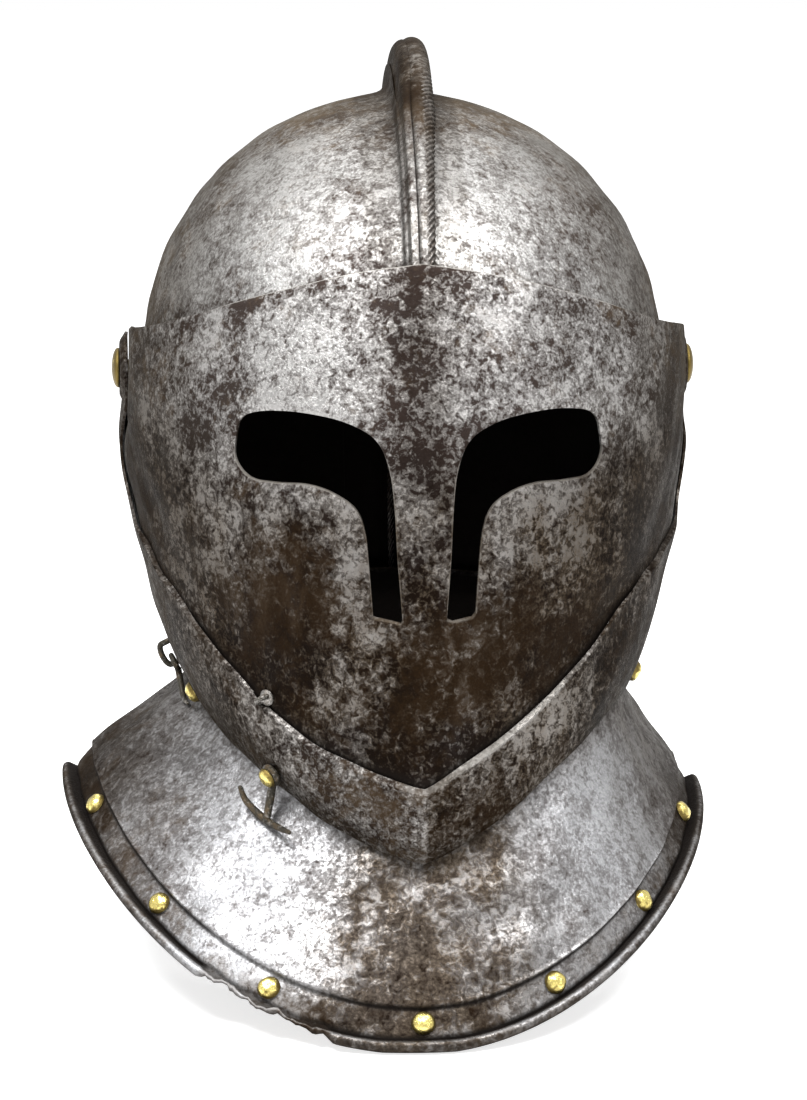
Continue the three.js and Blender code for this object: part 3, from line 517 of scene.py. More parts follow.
@dataclass
class Surface:
    """Closed mesh in the making: points in mm about the pivot, triangles, and marks that the finishes read."""

    points: Array
    triangles: Array
    marks: dict[str, Array] = field(default_factory=dict)

    def joined(self, *others: "Surface") -> "Surface":
        """This surface and others as one mesh, for bare iron without marks."""
        points, triangles = self.points, self.triangles
        for other in others:
            triangles = np.concatenate([triangles, other.triangles + len(points)])
            points = np.concatenate([points, other.points])
        return Surface(points, triangles)

    def outward(self) -> "Surface":
        """The same surface with its faces turned outwards, by the sign of its volume."""
        a, b, c = (self.points[self.triangles[:, k]] for k in range(3))
        volume = (a * np.cross(b, c)).sum()
        return self if volume > 0 else Surface(self.points, self.triangles[:, ::-1], self.marks)

    def piece(self, name: str, body: str, slot: str, material: Material, crease: float = 50.0) -> None:
        """Makes the Blender object, smooth except over creases, riding on a body and standing for the node of its name.

        Args:
            name: the CAD node that it stands for; the object gets the same name with _dressed behind it.
            body: the CAD body that carries it.
            slot: the record's material slot; not used.
            material: its finish.
            crease: degrees past which an edge stays sharp.
        """
        mesh = bpy.data.meshes.new(name)
        mesh.vertices.add(len(self.points))
        mesh.vertices.foreach_set("co", ((self.points + PIVOT) * METRES).astype(np.float32).ravel())
        mesh.loops.add(3 * len(self.triangles))
        mesh.loops.foreach_set("vertex_index", self.triangles.astype(np.int32).ravel())
        mesh.polygons.add(len(self.triangles))
        mesh.polygons.foreach_set("loop_start", np.arange(0, 3 * len(self.triangles), 3, dtype=np.int32))
        mesh.polygons.foreach_set("use_smooth", np.ones(len(self.triangles), bool))
        mesh.update(calc_edges=True)
        mesh.validate()
        mesh.set_sharp_from_angle(angle=math.radians(crease))
        for key, values in self.marks.items():
            mesh.attributes.new(key, "FLOAT", "POINT").data.foreach_set("value", values.astype(np.float32))
        mesh.materials.append(material)
        piece = bpy.data.objects.new(name + "_dressed", mesh)
        bpy.context.scene.collection.objects.link(piece)
        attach(piece, body)
        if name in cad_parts:
            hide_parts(name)
        log.info("%s: %d triangles on %s", piece.name, len(self.triangles), body)


def thick_sheet(outer: Array, inner: Array, triangles: Array, rounding: float, marks: dict[str, Array]) -> Surface:
    """Closed sheet from an outer and an inner skin with the same triangles.

    The rims of both skins draw towards each other by the rounding share, and a wall joins them. The wear mark scales
    how far the rims are worn bright; on the bevor's lip that worn colour is also a painted highlight. Nearness to the
    rim falls off as exp(−d / 0.7 mm).
    """
    wear_reach, wall_darkening = 0.7, 0.3
    border = border_edges(triangles)
    edge, count = np.unique(border), len(outer)
    outer, inner = outer.copy(), inner.copy()
    across = (inner[edge] - outer[edge]) * rounding
    outer[edge] += across
    inner[edge] -= across
    near = np.exp(-nearest_distance(outer, outer[edge]) / wear_reach) * marks.get("edge_wear_and_highlight", 1.0)
    walls = cell_triangles(border[:, 1], border[:, 0], border[:, 0] + count, border[:, 1] + count)
    faces = np.concatenate([triangles, triangles[:, ::-1] + count, walls])
    both = {k: np.tile(m, 2) for k, m in marks.items() if k != "edge_wear_and_highlight"}
    both |= {"edge_near": np.tile(near, 2), "inside": np.repeat([0.0, 1.0], count)}
    # The walls between the skins take part of the inner skin's dark colour.
    both["inside"][edge + count] = wall_darkening
    used, flat = np.unique(faces, return_inverse=True)
    points = np.concatenate([outer, inner])[used]
    return Surface(points, flat.reshape(faces.shape), {k: m[used] for k, m in both.items()}).outward()


def grid_sheet(outer: Array, inner: Array, rounding: float, marks: dict[str, Array]) -> Surface:
    """Closed sheet from two skins that are whole grids of points, with marks that fill or stretch over the grid."""
    rows, columns = outer.shape[:2]
    flat = {key: np.broadcast_to(values, (rows, columns)).ravel() for key, values in marks.items()}
    triangles = cell_triangles(*lattice(rows - 1, columns - 1))
    return thick_sheet(outer.reshape(-1, 3), inner.reshape(-1, 3), triangles, rounding, flat)


def tube(path: Array, radii: Array, sides: int = 20) -> Surface:
    """Round bar: circles across a path, with frames carried along it so that they do not twist, and domed ends.

    Args:
        path: points (k, 3) along the bar's middle.
        radii: the bar's radius at each point.
        sides: corners of the section.

    Returns:
        The closed surface.
    """
    tangent = unit(np.gradient(path, axis=0))
    side = np.zeros_like(path)
    start = np.cross(tangent[0], [0.31, 0.77, 0.56])
    side[0] = start / np.linalg.norm(start)
    for k in range(1, len(path)):
        held = side[k - 1] - tangent[k] * (side[k - 1] @ tangent[k])
        side[k] = held / np.linalg.norm(held)
    caps = np.linspace(0, math.pi / 2, 5)[:-1]
    head = [path[0] - tangent[0] * radii[0] * math.cos(c) for c in caps]
    tail = [path[-1] + tangent[-1] * radii[-1] * math.cos(c) for c in caps[::-1]]
    centres = np.concatenate([head, path, tail])
    size = np.concatenate([radii[0] * np.sin(caps), radii, radii[-1] * np.sin(caps[::-1])])
    size = np.maximum(size, 0.02)[:, None, None]
    longer = lambda rows: np.concatenate([np.repeat(rows[:1], len(caps), 0), rows, np.repeat(rows[-1:], len(caps), 0)])
    u = longer(side)
    w = np.cross(longer(tangent), u)
    turn = np.linspace(0, 2 * math.pi, sides, endpoint=False)[:, None]
    return closed_rings(centres[:, None] + size * (u[:, None] * np.cos(turn) + w[:, None] * np.sin(turn)))


def closed_rings(rings: Array) -> Surface:
    """Closed surface through rings of points, with each end closed at its middle."""
    count, sides = rings.shape[:2]
    points = np.concatenate([rings.reshape(-1, 3), rings[:1].mean(1), rings[-1:].mean(1)])
    first, last, end = count * sides, count * sides + 1, (count - 1) * sides
    edge = np.arange(sides)
    after = (edge + 1) % sides
    triangles = np.concatenate([
        cell_triangles(*lattice(count - 1, sides, True)),
        np.stack([np.full(sides, first), after, edge], 1),
        np.stack([np.full(sides, last), end + edge, end + after], 1),
    ])
    return Surface(points, triangles).outward()


def looped_rings(rings: Array) -> Surface:
    """Surface through rings of points of which the last meets the first."""
    return Surface(rings.reshape(-1, 3), cell_triangles(*lattice(*rings.shape[:2], True, True))).outward()


def turned(profile: Array, sides: int, uneven: Array | float = 1.0) -> Array:
    """Rings about +y from a profile of radius and height."""
    turn = np.linspace(0, 2 * math.pi, sides, endpoint=False)
    radius = profile[:, :1] * uneven
    return np.stack([radius * np.cos(turn), np.repeat(profile[:, 1:], sides, 1), radius * np.sin(turn)], -1)


def lathe(profile: Sequence, sides: int, wobble: float = 0.0, seed: float = 0.0) -> Surface:
    """Turned piece about +y from a profile of radius and height, with a slight hand-made unevenness.

    The radius is scaled by 1 + wobble·(sin 2a + sin 3a + sin 5a)/2 with a the angle, each sine with its own start.
    """
    turn = np.linspace(0, 2 * math.pi, sides, endpoint=False)
    waves = np.sin(2 * turn + seed) + np.sin(3 * turn + 2.3 * seed) + np.sin(5 * turn + 4.1 * seed)
    return closed_rings(turned(np.maximum(np.array(profile), [0.01, -np.inf]), sides, 1 + wobble * waves / 2))


def ring(middle: float, wire: float, steps: int = 40, sides: int = 16) -> Surface:
    """Torus about +y: a circle of wire radius carried round a circle of middle radius."""
    turn = np.linspace(0, 2 * math.pi, sides, endpoint=False)
    section = np.stack([middle + wire * np.cos(turn), wire * np.sin(turn)], -1)
    return looped_rings(turned(section, steps).swapaxes(0, 1))


def seated(surface: Surface, seat: Seat) -> Surface:
    """A surface made about +y, moved to its seat, faces outward again."""
    return Surface(seat.put(surface.points), surface.triangles, surface.marks).outward()


# ---------------------------------------------------------------- shader groups


class Wiring:
    """Short way to lay nodes in one tree: values are set, and sockets are linked."""

    def __init__(self, tree: bpy.types.NodeTree) -> None:
        """Takes the tree that the nodes go into."""
        self.tree = tree

    def put(self, node: Node, inputs: dict) -> None:
        """Gives a node its inputs: by socket name or number, a value to set or a socket to link."""
        for key, value in inputs.items():
            if isinstance(value, Socket):
                self.tree.links.new(value, node.inputs[key])
            else:
                node.inputs[key].default_value = value

    def node(self, kind: str, inputs: dict | None = None, **settings: object) -> Node:
        """Adds a node of Blender's type with its settings and inputs."""
        node = self.tree.nodes.new(kind)
        for key, value in settings.items():
            setattr(node, key, value)
        self.put(node, inputs or {})
        return node

    def math(self, operation: str, *values: object, clamp: bool = False) -> Socket:
        """Result of a Math node."""
        return self.node("ShaderNodeMath", dict(enumerate(values)), operation=operation, use_clamp=clamp).outputs[0]

    def add(self, first: object, *others: object) -> Socket:
        """Sum of two or more values."""
        for other in others:
            first = self.math("ADD", first, other)
        return first

    def less(self, a: object, b: object) -> Socket:
        """Value a without b."""
        return self.math("SUBTRACT", a, b)

    def times(self, a: object, b: object, clamp: bool = False) -> Socket:
        """Product of two values."""
        return self.math("MULTIPLY", a, b, clamp=clamp)

    def most(self, a: object, b: object) -> Socket:
        """The larger of two values."""
        return self.math("MAXIMUM", a, b)

    def mix(self, share: object, a: object, b: object, blend: str = "MIX") -> Socket:
        """Colour mixed from a to b."""
        node = self.node("ShaderNodeMix", {0: share, 6: a, 7: b}, data_type="RGBA", blend_type=blend, clamp_factor=True)
        return node.outputs[2]

    def blend(self, share: object, a: object, b: object) -> Socket:
        """Number mixed from a to b."""
        return self.node("ShaderNodeMix", {0: share, 2: a, 3: b}, data_type="FLOAT", clamp_factor=True).outputs[0]

    def noise(self, vector: object, scale: object, detail: float, roughness: float = 0.5, warp: float = 0.0) -> Socket:
        """Noise value from 0 to 1."""
        values = {"Vector": vector, "Scale": scale, "Detail": detail, "Roughness": roughness, "Distortion": warp}
        return self.node("ShaderNodeTexNoise", values).outputs[0]

    def step(self, value: object, low: object, high: object) -> Socket:
        """Smooth step of a value from 0 at low to 1 at high."""
        inputs = {0: value, 1: low, 2: high, 3: 0.0, 4: 1.0}
        return self.node("ShaderNodeMapRange", inputs, interpolation_type="SMOOTHSTEP").outputs[0]

    def place(self) -> Socket:
        """Object coordinates."""
        return self.node("ShaderNodeTexCoord").outputs["Object"]

    def mark(self, name: str) -> Socket:
        """One of the marks that a surface carries."""
        return self.node("ShaderNodeAttribute", attribute_name=name).outputs["Fac"]

    def use(self, tree: bpy.types.NodeTree, inputs: dict) -> Node:
        """Places a shared group with its inputs."""
        return self.node("ShaderNodeGroup", inputs, node_tree=tree)

    def bump(self, height: Socket, strength: float, distance: float) -> Socket:
        """Normal of a relief."""
        inputs = {"Height": height, "Strength": strength, "Distance": distance}
        return self.node("ShaderNodeBump", inputs).outputs[0]


def rgba(colour: Colour, scale: float = 1.0) -> tuple[float, float, float, float]:
    """Colour, made lighter or darker by the scale, with full alpha."""
    return (*(scale * c for c in colour), 1.0)


class Effects:
    """Shader groups shared by the finishes, each built once."""

    def __init__(self) -> None:
        """Builds the four groups."""
        self.patina = self.make_patina()
        self.stain = self.make_stain()
        self.edge = self.make_edge()
        self.relief = self.make_relief()

    def group(self, name: str, inputs: dict[str, float | None], outputs: Sequence[str]) -> tuple[Wiring, list[Socket]]:
        """Empty group with named sockets.

        Args:
            name: the group's name.
            inputs: default values; None makes a vector input.
            outputs: names of the number outputs.

        Returns:
            The wiring, and the inner sockets in the order of the inputs.
        """
        tree = bpy.data.node_groups.new(name, "ShaderNodeTree")
        for key, value in inputs.items():
            kind = "NodeSocketVector" if value is None else "NodeSocketFloat"
            socket = tree.interface.new_socket(name=key, in_out="INPUT", socket_type=kind)
            if value is not None:
                socket.default_value = value
        for key in outputs:
            tree.interface.new_socket(name=key, in_out="OUTPUT", socket_type="NodeSocketFloat")
        w = Wiring(tree)
        source = w.node("NodeGroupInput")
        return w, [source.outputs[key] for key in inputs]

    def make_patina(self) -> bpy.types.NodeTree:
        """Mottled patina: broad clouds plus blotches plus fine speckle, cut off at the coverage."""
        inputs = {"Vector": None, "Coverage": 0.5, "Grain": 520.0, "Softness": 0.12, "Clouds": 0.5}
        w, (place, coverage, grain, softness, clouds) = self.group("MottledPatina", inputs, ("Bright", "Speckle"))
        cloud = w.noise(place, 28.0, 3.0, 0.55, 0.5)
        blotch = w.noise(place, w.times(grain, 0.24), 4.0, 0.6, 0.6)
        speckle = w.noise(place, grain, 3.0, 0.6, 0.7)
        fine = w.noise(place, w.times(grain, 2.8), 2.0, 0.6)
        whole = w.add(w.times(w.less(cloud, 0.5), clouds), w.times(blotch, 0.6))
        whole = w.add(whole, w.times(speckle, 1.2), w.times(fine, 0.5))
        level = w.less(1.5, w.times(coverage, 0.7))
        haze = w.step(whole, w.less(level, w.times(softness, 2.0)), level)
        crisp = w.step(whole, w.less(level, w.times(softness, 0.3)), w.add(level, w.times(softness, 2.5)))
        w.node("NodeGroupOutput", {"Bright": w.add(w.times(haze, 0.35), w.times(crisp, 0.65)), "Speckle": fine})
        return w.tree

    def make_stain(self) -> bpy.types.NodeTree:
        """Rust stain: clouds with torn edges, where the piece's own mark allows them."""
        w, (place, amount, region) = self.group("RustStain", {"Vector": None, "Amount": 0.3, "Region": 0.0}, ("Stain",))
        cloud, torn = w.noise(place, 38.0, 5.0, 0.62, 0.9), w.noise(place, 260.0, 4.0, 0.65, 0.3)
        whole = w.add(w.times(cloud, 0.62), w.times(torn, 0.38), w.times(w.add(region, amount), 0.3))
        w.node("NodeGroupOutput", {"Stain": w.step(whole, 0.58, 0.78)})
        return w.tree

    def make_edge(self) -> bpy.types.NodeTree:
        """Worn edge: nearness to the sheet's rim, broken up by noise."""
        w, (place, near, reach) = self.group("WornEdge", {"Vector": None, "Near": 0.0, "Reach": 0.5}, ("Worn",))
        value = w.add(near, w.times(w.less(w.noise(place, 150.0, 3.0, 0.6), 0.5), 0.5))
        limit = w.less(1.0, reach)
        w.node("NodeGroupOutput", {"Worn": w.step(value, limit, w.add(limit, 0.3))})
        return w.tree

    def make_relief(self) -> bpy.types.NodeTree:
        """Relief: pits from a cut-off fine noise, under soft hammer marks."""
        w, (place, pits, marks) = self.group("PitsAndMarks", {"Vector": None, "Pits": 0.5, "Marks": 0.5}, ("Height",))
        pitted = w.step(w.noise(place, 850.0, 4.0, 0.65), 0.36, 0.52)
        height = w.add(w.times(pitted, pits), w.times(w.noise(place, 62.0, 2.0), marks))
        w.node("NodeGroupOutput", {"Height": height})
        return w.tree


def new_material(name: str) -> tuple[Material, Wiring, Node]:
    """Empty node material with its Principled shader wired to the output."""
    material = bpy.data.materials.new(name)
    material.use_nodes = True
    material.node_tree.nodes.clear()
    w = Wiring(material.node_tree)
    shader = w.node("ShaderNodeBsdfPrincipled")
    w.node("ShaderNodeOutputMaterial", {"Surface": shader.outputs[0]})
    return material, w, shader


@dataclass(frozen=True)
class SteelFinish:
    """Old steel: bright patches in a dark pitted patina, rust stains, worn rims, grime in the hollows, and painted
    highlights and painted shade.
    """

    name: str
    bright: Colour = (0.4, 0.39, 0.38)
    dark: Colour = (0.038, 0.033, 0.032)
    stain: Colour = (0.085, 0.06, 0.038)
    worn: Colour = (0.26, 0.25, 0.235)
    dirt_and_shade: Colour = (0.012, 0.01, 0.009)
    # Painted shade towards grazing views: its colour, share and power.
    rim: Colour = (0.05, 0.04, 0.026)
    grazing_shade_share: float = 0.75
    grazing_shade_power: float = 2.2
    # Tints of the painted shade, cooler and warmer, that multiply into the colour.
    painted_shade: Colour = (0.15, 0.13, 0.115)
    painted_shade_warm: Colour = (0.2, 0.15, 0.095)
    gloss_tint: Colour = (0.22, 0.2, 0.17)
    gloss_level: float = 0.05
    coverage: float = 0.5
    grain: float = 480.0
    softness: float = 0.1
    clouds: float = 0.5
    stain_amount: float = 0.2
    edge_reach: float = 0.35
    bright_roughness: float = 0.34
    dark_roughness: float = 0.56
    stain_roughness: float = 0.68
    pits: float = 0.6
    marks: float = 1.6
    shift: tuple[float, float, float] = (0.0, 0.0, 0.0)

    def build(self, effects: Effects) -> Material:
        """Makes the material."""
        material, w, shader = new_material(self.name)
        place = w.node("ShaderNodeMapping", {"Vector": w.place(), "Location": self.shift}).outputs[0]
        # The highlight mark widens the bright patina where painted highlights belong.
        patina = w.use(effects.patina, {
            "Vector": place, "Grain": self.grain, "Softness": self.softness, "Clouds": self.clouds,
            "Coverage": w.add(w.mark("polish"), self.coverage),
        })
        region = {"Vector": place, "Amount": self.stain_amount, "Region": w.mark("stain")}
        stained = w.use(effects.stain, region).outputs[0]
        near = {"Vector": place, "Near": w.mark("edge_near"), "Reach": self.edge_reach}
        worn = w.use(effects.edge, near).outputs[0]
        relief = w.use(effects.relief, {"Vector": place, "Pits": self.pits, "Marks": self.marks}).outputs[0]
        bright, speckle = patina.outputs["Bright"], patina.outputs["Speckle"]
        tint = w.noise(place, 45.0, 3.0)
        warmer = tuple(c * k for c, k in zip(self.dark, (1.25, 1.0, 0.85)))
        light = w.mix(w.step(speckle, 0.35, 0.7), rgba(self.bright, 0.72), rgba(self.bright))
        colour = w.mix(bright, w.mix(tint, rgba(self.dark), rgba(warmer)), light)
        stain_colour = w.mix(speckle, rgba(self.stain, 0.45), rgba(self.stain, 1.5))
        colour = w.mix(w.times(stained, w.blend(bright, 0.85, 0.45)), colour, stain_colour)
        colour = w.mix(worn, colour, rgba(self.worn))
        # Painted shade: the colour turns to the dark rim colour where the surface faces away from the view.
        grazing = w.node("ShaderNodeLayerWeight", {"Blend": 0.5}).outputs["Facing"]
        colour = w.mix(w.times(w.math("POWER", grazing, self.grazing_shade_power), self.grazing_shade_share), colour, rgba(self.rim))
        # Painted shade: the shade mark darkens the colour in streaky patches by multiplying it with a brown tint.
        streak = w.node("ShaderNodeMapping", {"Vector": place, "Scale": (1.0, 1.0, 0.35)}).outputs[0]
        patch = w.add(w.noise(streak, 75.0, 5.0, 0.65, 0.6), w.times(speckle, 0.5))
        shade_amount = w.times(w.mark("painted_shade"), w.times(patch, w.blend(bright, 1.6, 1.12)), clamp=True)
        shade_tint = w.mix(tint, rgba(self.painted_shade), rgba(self.painted_shade_warm))
        colour = w.mix(shade_amount, colour, w.mix(1.0, colour, shade_tint, "MULTIPLY"))
        # Grime in the hollows, painted shade along seams and steps, and the inner skin take the dark colour.
        dirt_and_shade_share = w.most(w.mark("dirt_and_painted_shade"), w.mark("inside"))
        rough = w.blend(bright, self.dark_roughness, self.bright_roughness)
        metal = w.blend(w.most(w.times(stained, 0.6), w.mark("inside")), w.blend(bright, 0.4, 0.7), 0.2)
        w.put(shader, {
            "Base Color": w.mix(dirt_and_shade_share, colour, rgba(self.dirt_and_shade)), "Metallic": metal,
            "Roughness": w.blend(w.most(stained, dirt_and_shade_share), rough, self.stain_roughness),
            "Normal": w.bump(w.add(relief, w.times(bright, 0.35)), 0.55, 0.00022),
            "Specular Tint": rgba(self.gloss_tint), "Specular IOR Level": self.gloss_level,
        })
        return material


@dataclass(frozen=True)
class BrassFinish:
    """Brass caps, rubbed bright on top and browned towards the rim."""

    name: str = "brass_caps"
    bright: Colour = (0.72, 0.6, 0.2)
    tarnish: Colour = (0.13, 0.095, 0.03)

    def build(self, effects: Effects) -> Material:
        """Makes the material."""
        material, w, shader = new_material(self.name)
        place = w.place()
        share = w.step(w.add(w.noise(place, 420.0, 4.0, 0.6, 0.5), w.times(w.mark("edge_near"), 0.38)), 0.47, 0.76)
        relief = w.use(effects.relief, {"Vector": place, "Pits": 0.5, "Marks": 1.0}).outputs[0]
        w.put(shader, {
            "Base Color": w.mix(share, rgba(self.bright), rgba(self.tarnish)),
            "Roughness": w.blend(share, 0.24, 0.5), "Normal": w.bump(relief, 0.5, 0.0002), "Metallic": 1.0,
        })
        return material


@dataclass(frozen=True)
class IronFinish:
    """Blackened iron with an olive-brown bloom, rubbed bright where it turns."""

    name: str = "black_iron"
    dark: Colour = (0.032, 0.028, 0.02)
    rust: Colour = (0.07, 0.05, 0.028)
    rubbed: Colour = (0.42, 0.4, 0.38)
    rubbing: float = 0.0
    grain: float = 700.0
    softness: float = 0.15

    def build(self, effects: Effects) -> Material:
        """Makes the material."""
        material, w, shader = new_material(self.name)
        place = w.place()
        values = {"Vector": place, "Coverage": self.rubbing, "Grain": self.grain, "Softness": self.softness}
        rubbed = w.use(effects.patina, values).outputs[0]
        relief = w.use(effects.relief, {"Vector": place, "Pits": 1.0, "Marks": 1.0}).outputs[0]
        bloom = w.step(w.noise(place, 300.0, 4.0, 0.6, 0.4), 0.45, 0.65)
        w.put(shader, {
            "Base Color": w.mix(rubbed, w.mix(bloom, rgba(self.dark), rgba(self.rust)), rgba(self.rubbed)),
            "Roughness": w.blend(rubbed, 0.55, 0.36), "Metallic": w.blend(rubbed, 0.7, 1.0),
            "Normal": w.bump(relief, 0.6, 0.0003),
        })
        return material


@dataclass(frozen=True)
class LeatherFinish:
    """Dry brown strap leather with a pebbled grain and rubbed edges."""

    name: str = "strap_leather"
    body: Colour = (0.13, 0.068, 0.034)
    rubbed: Colour = (0.26, 0.16, 0.09)

    def build(self, effects: Effects) -> Material:
        """Makes the material."""
        material, w, shader = new_material(self.name)
        place = w.place()
        worn = w.use(effects.edge, {"Vector": place, "Near": w.mark("edge_near"), "Reach": 0.5}).outputs[0]
        cells = w.node("ShaderNodeTexVoronoi", {"Vector": place, "Scale": 900.0}).outputs["Distance"]
        cloud = w.noise(place, 120.0, 4.0, 0.6, 0.2)
        colour = w.mix(w.step(cloud, 0.35, 0.65), rgba(self.body, 0.5), rgba(self.body))
        w.put(shader, {
            "Base Color": w.mix(worn, colour, rgba(self.rubbed)), "Roughness": w.blend(cloud, 0.75, 0.9),
            "Normal": w.bump(w.less(cloud, cells), 0.6, 0.0003),
        })
        return material


# ---------------------------------------------------------------- sub-assemblies


def spots(points: Array, *patches: tuple[float, float, float, float, float]) -> Array:
    """Soft patches on the front, from rows of weight w, centre x and z, and reaches a and b, in mm about the pivot.

    The result is the sum of w·exp(−(dx/a)² − (dz/b)²), and zero behind the ears.
    """
    total = sum(
        w * np.exp(-((points[..., 0] - x) / a) ** 2 - ((points[..., 2] - z) / b) ** 2) for w, x, z, a, b in patches
    )
    return total * (points[..., 1] < BEHIND_EARS)


@dataclass
class Skull:
    """Two dome halves, each with its side of the comb, and the roping along the comb's crest."""

    form: SkullForm
    rows: int = 230
    dome_columns: int = 84
    comb_height: float = 21.0
    base_half_width: float = 17.0
    blade_half_width: float = 4.2
    roll_radius: float = 4.4
    fillet_width: float = 2.7
    seam: float = 0.15
    overlap: float = -0.3
    rope_pitch: float = 2.7
    rope_strands: int = 9
    rope_relief: float = 0.75
    rope_share: float = 0.42
    rope_rows: int = 760
    rope_sides: int = 72
    wave_depth: float = 0.35
    rounding: float = 0.18
    crest_plan: Table = (
        (0.0, 0.1), (0.25, 0.0), (0.6, 0.0), (0.9, 0.12), (1.05, 0.32), (1.1, 0.55), (1.15, 0.8), (1.25, 1.1),
        (1.35, 1.4),
    )
    flank_plan: Table = ((0.05, 0.56), (0.12, 0.28), (0.34, 0.07))
    comb_shares: Table = (
        (20, 0.3), (45, 0.38), (62, 0.47), (74, 0.58), (90, 0.84), (108, 0.98), (125, 1), (150, 0.85), (180, 0.55),
        (200, 0.33), (225, 0.15),
    )

    def rise(self, fan: Array) -> Array:
        """Height of the comb above the dome, from its table over the angle about the pivot."""
        foot = self.form.place(fan, np.zeros_like(fan), 0.0)
        angle = np.degrees(np.arctan2(foot[..., 2], -foot[..., 1]))
        return self.comb_height * table_value(self.comb_shares, np.where(angle < 0, angle + 360, angle))

    def apex(self, rise: Array) -> Array:
        """Share of the comb's full height, as a step from its low parts to its top."""
        return smooth(rise / self.comb_height, 0.45, 0.72)

    def outline(self, rise: Array, side: Side) -> tuple[Array, Array]:
        """Comb section on one half, crest to base: outer and inner points (rows, k, 2) as x and height."""
        roll = np.minimum(self.roll_radius, rise * 0.3)
        apex = self.apex(rise)
        column = lambda a, b: np.stack(np.broadcast_arrays(a, b), -1)
        if side is Side.RIGHT:
            arc = lambda turns: [
                column(self.seam + roll + roll * math.cos(t), rise - roll + roll * math.sin(t))
                for t in np.radians(turns)
            ]
            outer, inner = arc((180, 152, 125, 97, 70, 42, 15, -12, -40)), arc(np.linspace(205, 257, 9))
        else:
            seam = self.overlap - 1.7 * apex
            wide, top = self.fillet_width + 1.7 * apex, rise - (0.5 - 0.3 * apex) * roll
            outer = [column(seam + wide * a, top - roll * (h + 0.45 * apex * a * a)) for a, h in self.crest_plan]
            inner = [column(seam + 0.27 * k, rise - roll * (1.3 + 0.1 * k)) for k in range(9)]
        blade = self.blade_half_width
        outer.append(column(blade, rise - 2.2 * roll))
        inner.append(column(blade - self.form.sheet, rise - 2.5 * roll))
        for width, height in self.flank_plan:
            across = blade + (self.base_half_width - blade) * width
            up = np.minimum(height * (rise - 2.4 * roll), rise - 2.6 * roll)
            outer.append(column(across, up))
            inner.append(column(across - self.form.sheet * (1 - width), up - self.form.sheet * width))
        outer.append(column(self.base_half_width, 0 * rise))
        inner.append(column(self.base_half_width, 0 * rise - self.form.sheet))
        return np.stack(outer, -2), np.stack(inner, -2)

    def crest_reach(self, fan: Array) -> Array:
        """Distance of the dome's middle line from the origin of the fan."""
        return np.linalg.norm(self.form.place(fan, np.zeros_like(fan), 0.0) - np.array(self.form.fan_origin), axis=-1)

    def comb_points(self, fan: Array, outline: Array) -> Array:
        """Outline points (rows, k, 2) put on the dome: along x, and outward from it in the plane of each rib."""
        across, height = outline[..., 0], outline[..., 1]
        fans = np.broadcast_to(fan[:, None], across.shape)
        point = self.form.place(fans, np.arctan2(across, self.crest_reach(fan)[:, None]), 0.0)
        point[..., 1] -= height * np.cos(fans)
        point[..., 2] += height * np.sin(fans)
        point[..., 0] = across
        return point

    def half(self, side: Side) -> Surface:
        """One half of the skull."""
        fan = np.linspace(self.form.fan_start, math.pi, self.rows + 1)
        outer_line, inner_line = (spline(o, 3) for o in self.outline(self.rise(fan), side))
        share = (np.arange(1, self.dome_columns + 1) / self.dome_columns) ** 1.15
        start = np.arctan2(self.base_half_width, self.crest_reach(fan))[:, None]
        tilt = start + (self.form.fan_spread - start) * share
        fans = np.broadcast_to(fan[:, None], tilt.shape)
        flat = self.form.place(fans, tilt, 0.0)
        normal = unit((flat - np.array(self.form.centre)) / np.array(self.form.axes) ** 2)
        waves = hammered(flat, self.wave_depth)[..., None] * normal * smooth(share, 0.0, 0.12)[None, :, None]
        outer = np.concatenate([self.comb_points(fan, outer_line), flat + waves], 1)
        bare = self.form.place(fans, tilt, -self.form.sheet) + waves
        inner = np.concatenate([self.comb_points(fan, inner_line), bare], 1)
        line, wide, z = outer_line.shape[1], np.abs(outer[..., 0]), outer[..., 2]
        # Grime and painted shade at the foot of the comb's blade, and on the left half in the groove under the roll.
        dirt_and_painted_shade = np.zeros(outer.shape[:2])
        dirt_and_painted_shade[:, :line] = 0.35 * np.exp(-((np.arange(line) - line + 9) / 5.0) ** 2)
        # Painted shade towards the sides, near the top, and more on the comb, most of all along its crest.
        painted_shade = 0.08 + 0.35 * smooth(wide, 55, 90) + 0.3 * smooth(z, 84, 100)
        crest_painted_shade = 0.35
        if side is Side.LEFT:
            groove = 1 - 0.8 * self.apex(self.rise(fan))
            dirt_and_painted_shade[:, :3] = groove[:, None] * np.array([1.0, 0.7, 0.2])
            crest_painted_shade = 0.5
        high = smooth(z[:, :line], 88, 104) * crest_painted_shade
        painted_shade[:, :line] = np.maximum(painted_shade[:, :line], 0.42 + high)
        # Painted highlight on the right of the dome as seen from the front, and less brightness towards the top.
        polish = spots(outer, (0.1, 38.0, 62.0, 34.0, 30.0)) - 0.2 * smooth(z, 80, 98)
        stain = 0.5 * smooth(z, 70, 98) + 0.6 * smooth(wide, 76, 94)
        marks = {"dirt_and_painted_shade": dirt_and_painted_shade, "polish": polish, "stain": stain, "painted_shade": painted_shade}
        mirror = np.array([side.value, 1.0, 1.0])
        return grid_sheet(outer * mirror, inner * mirror, self.rounding, marks)

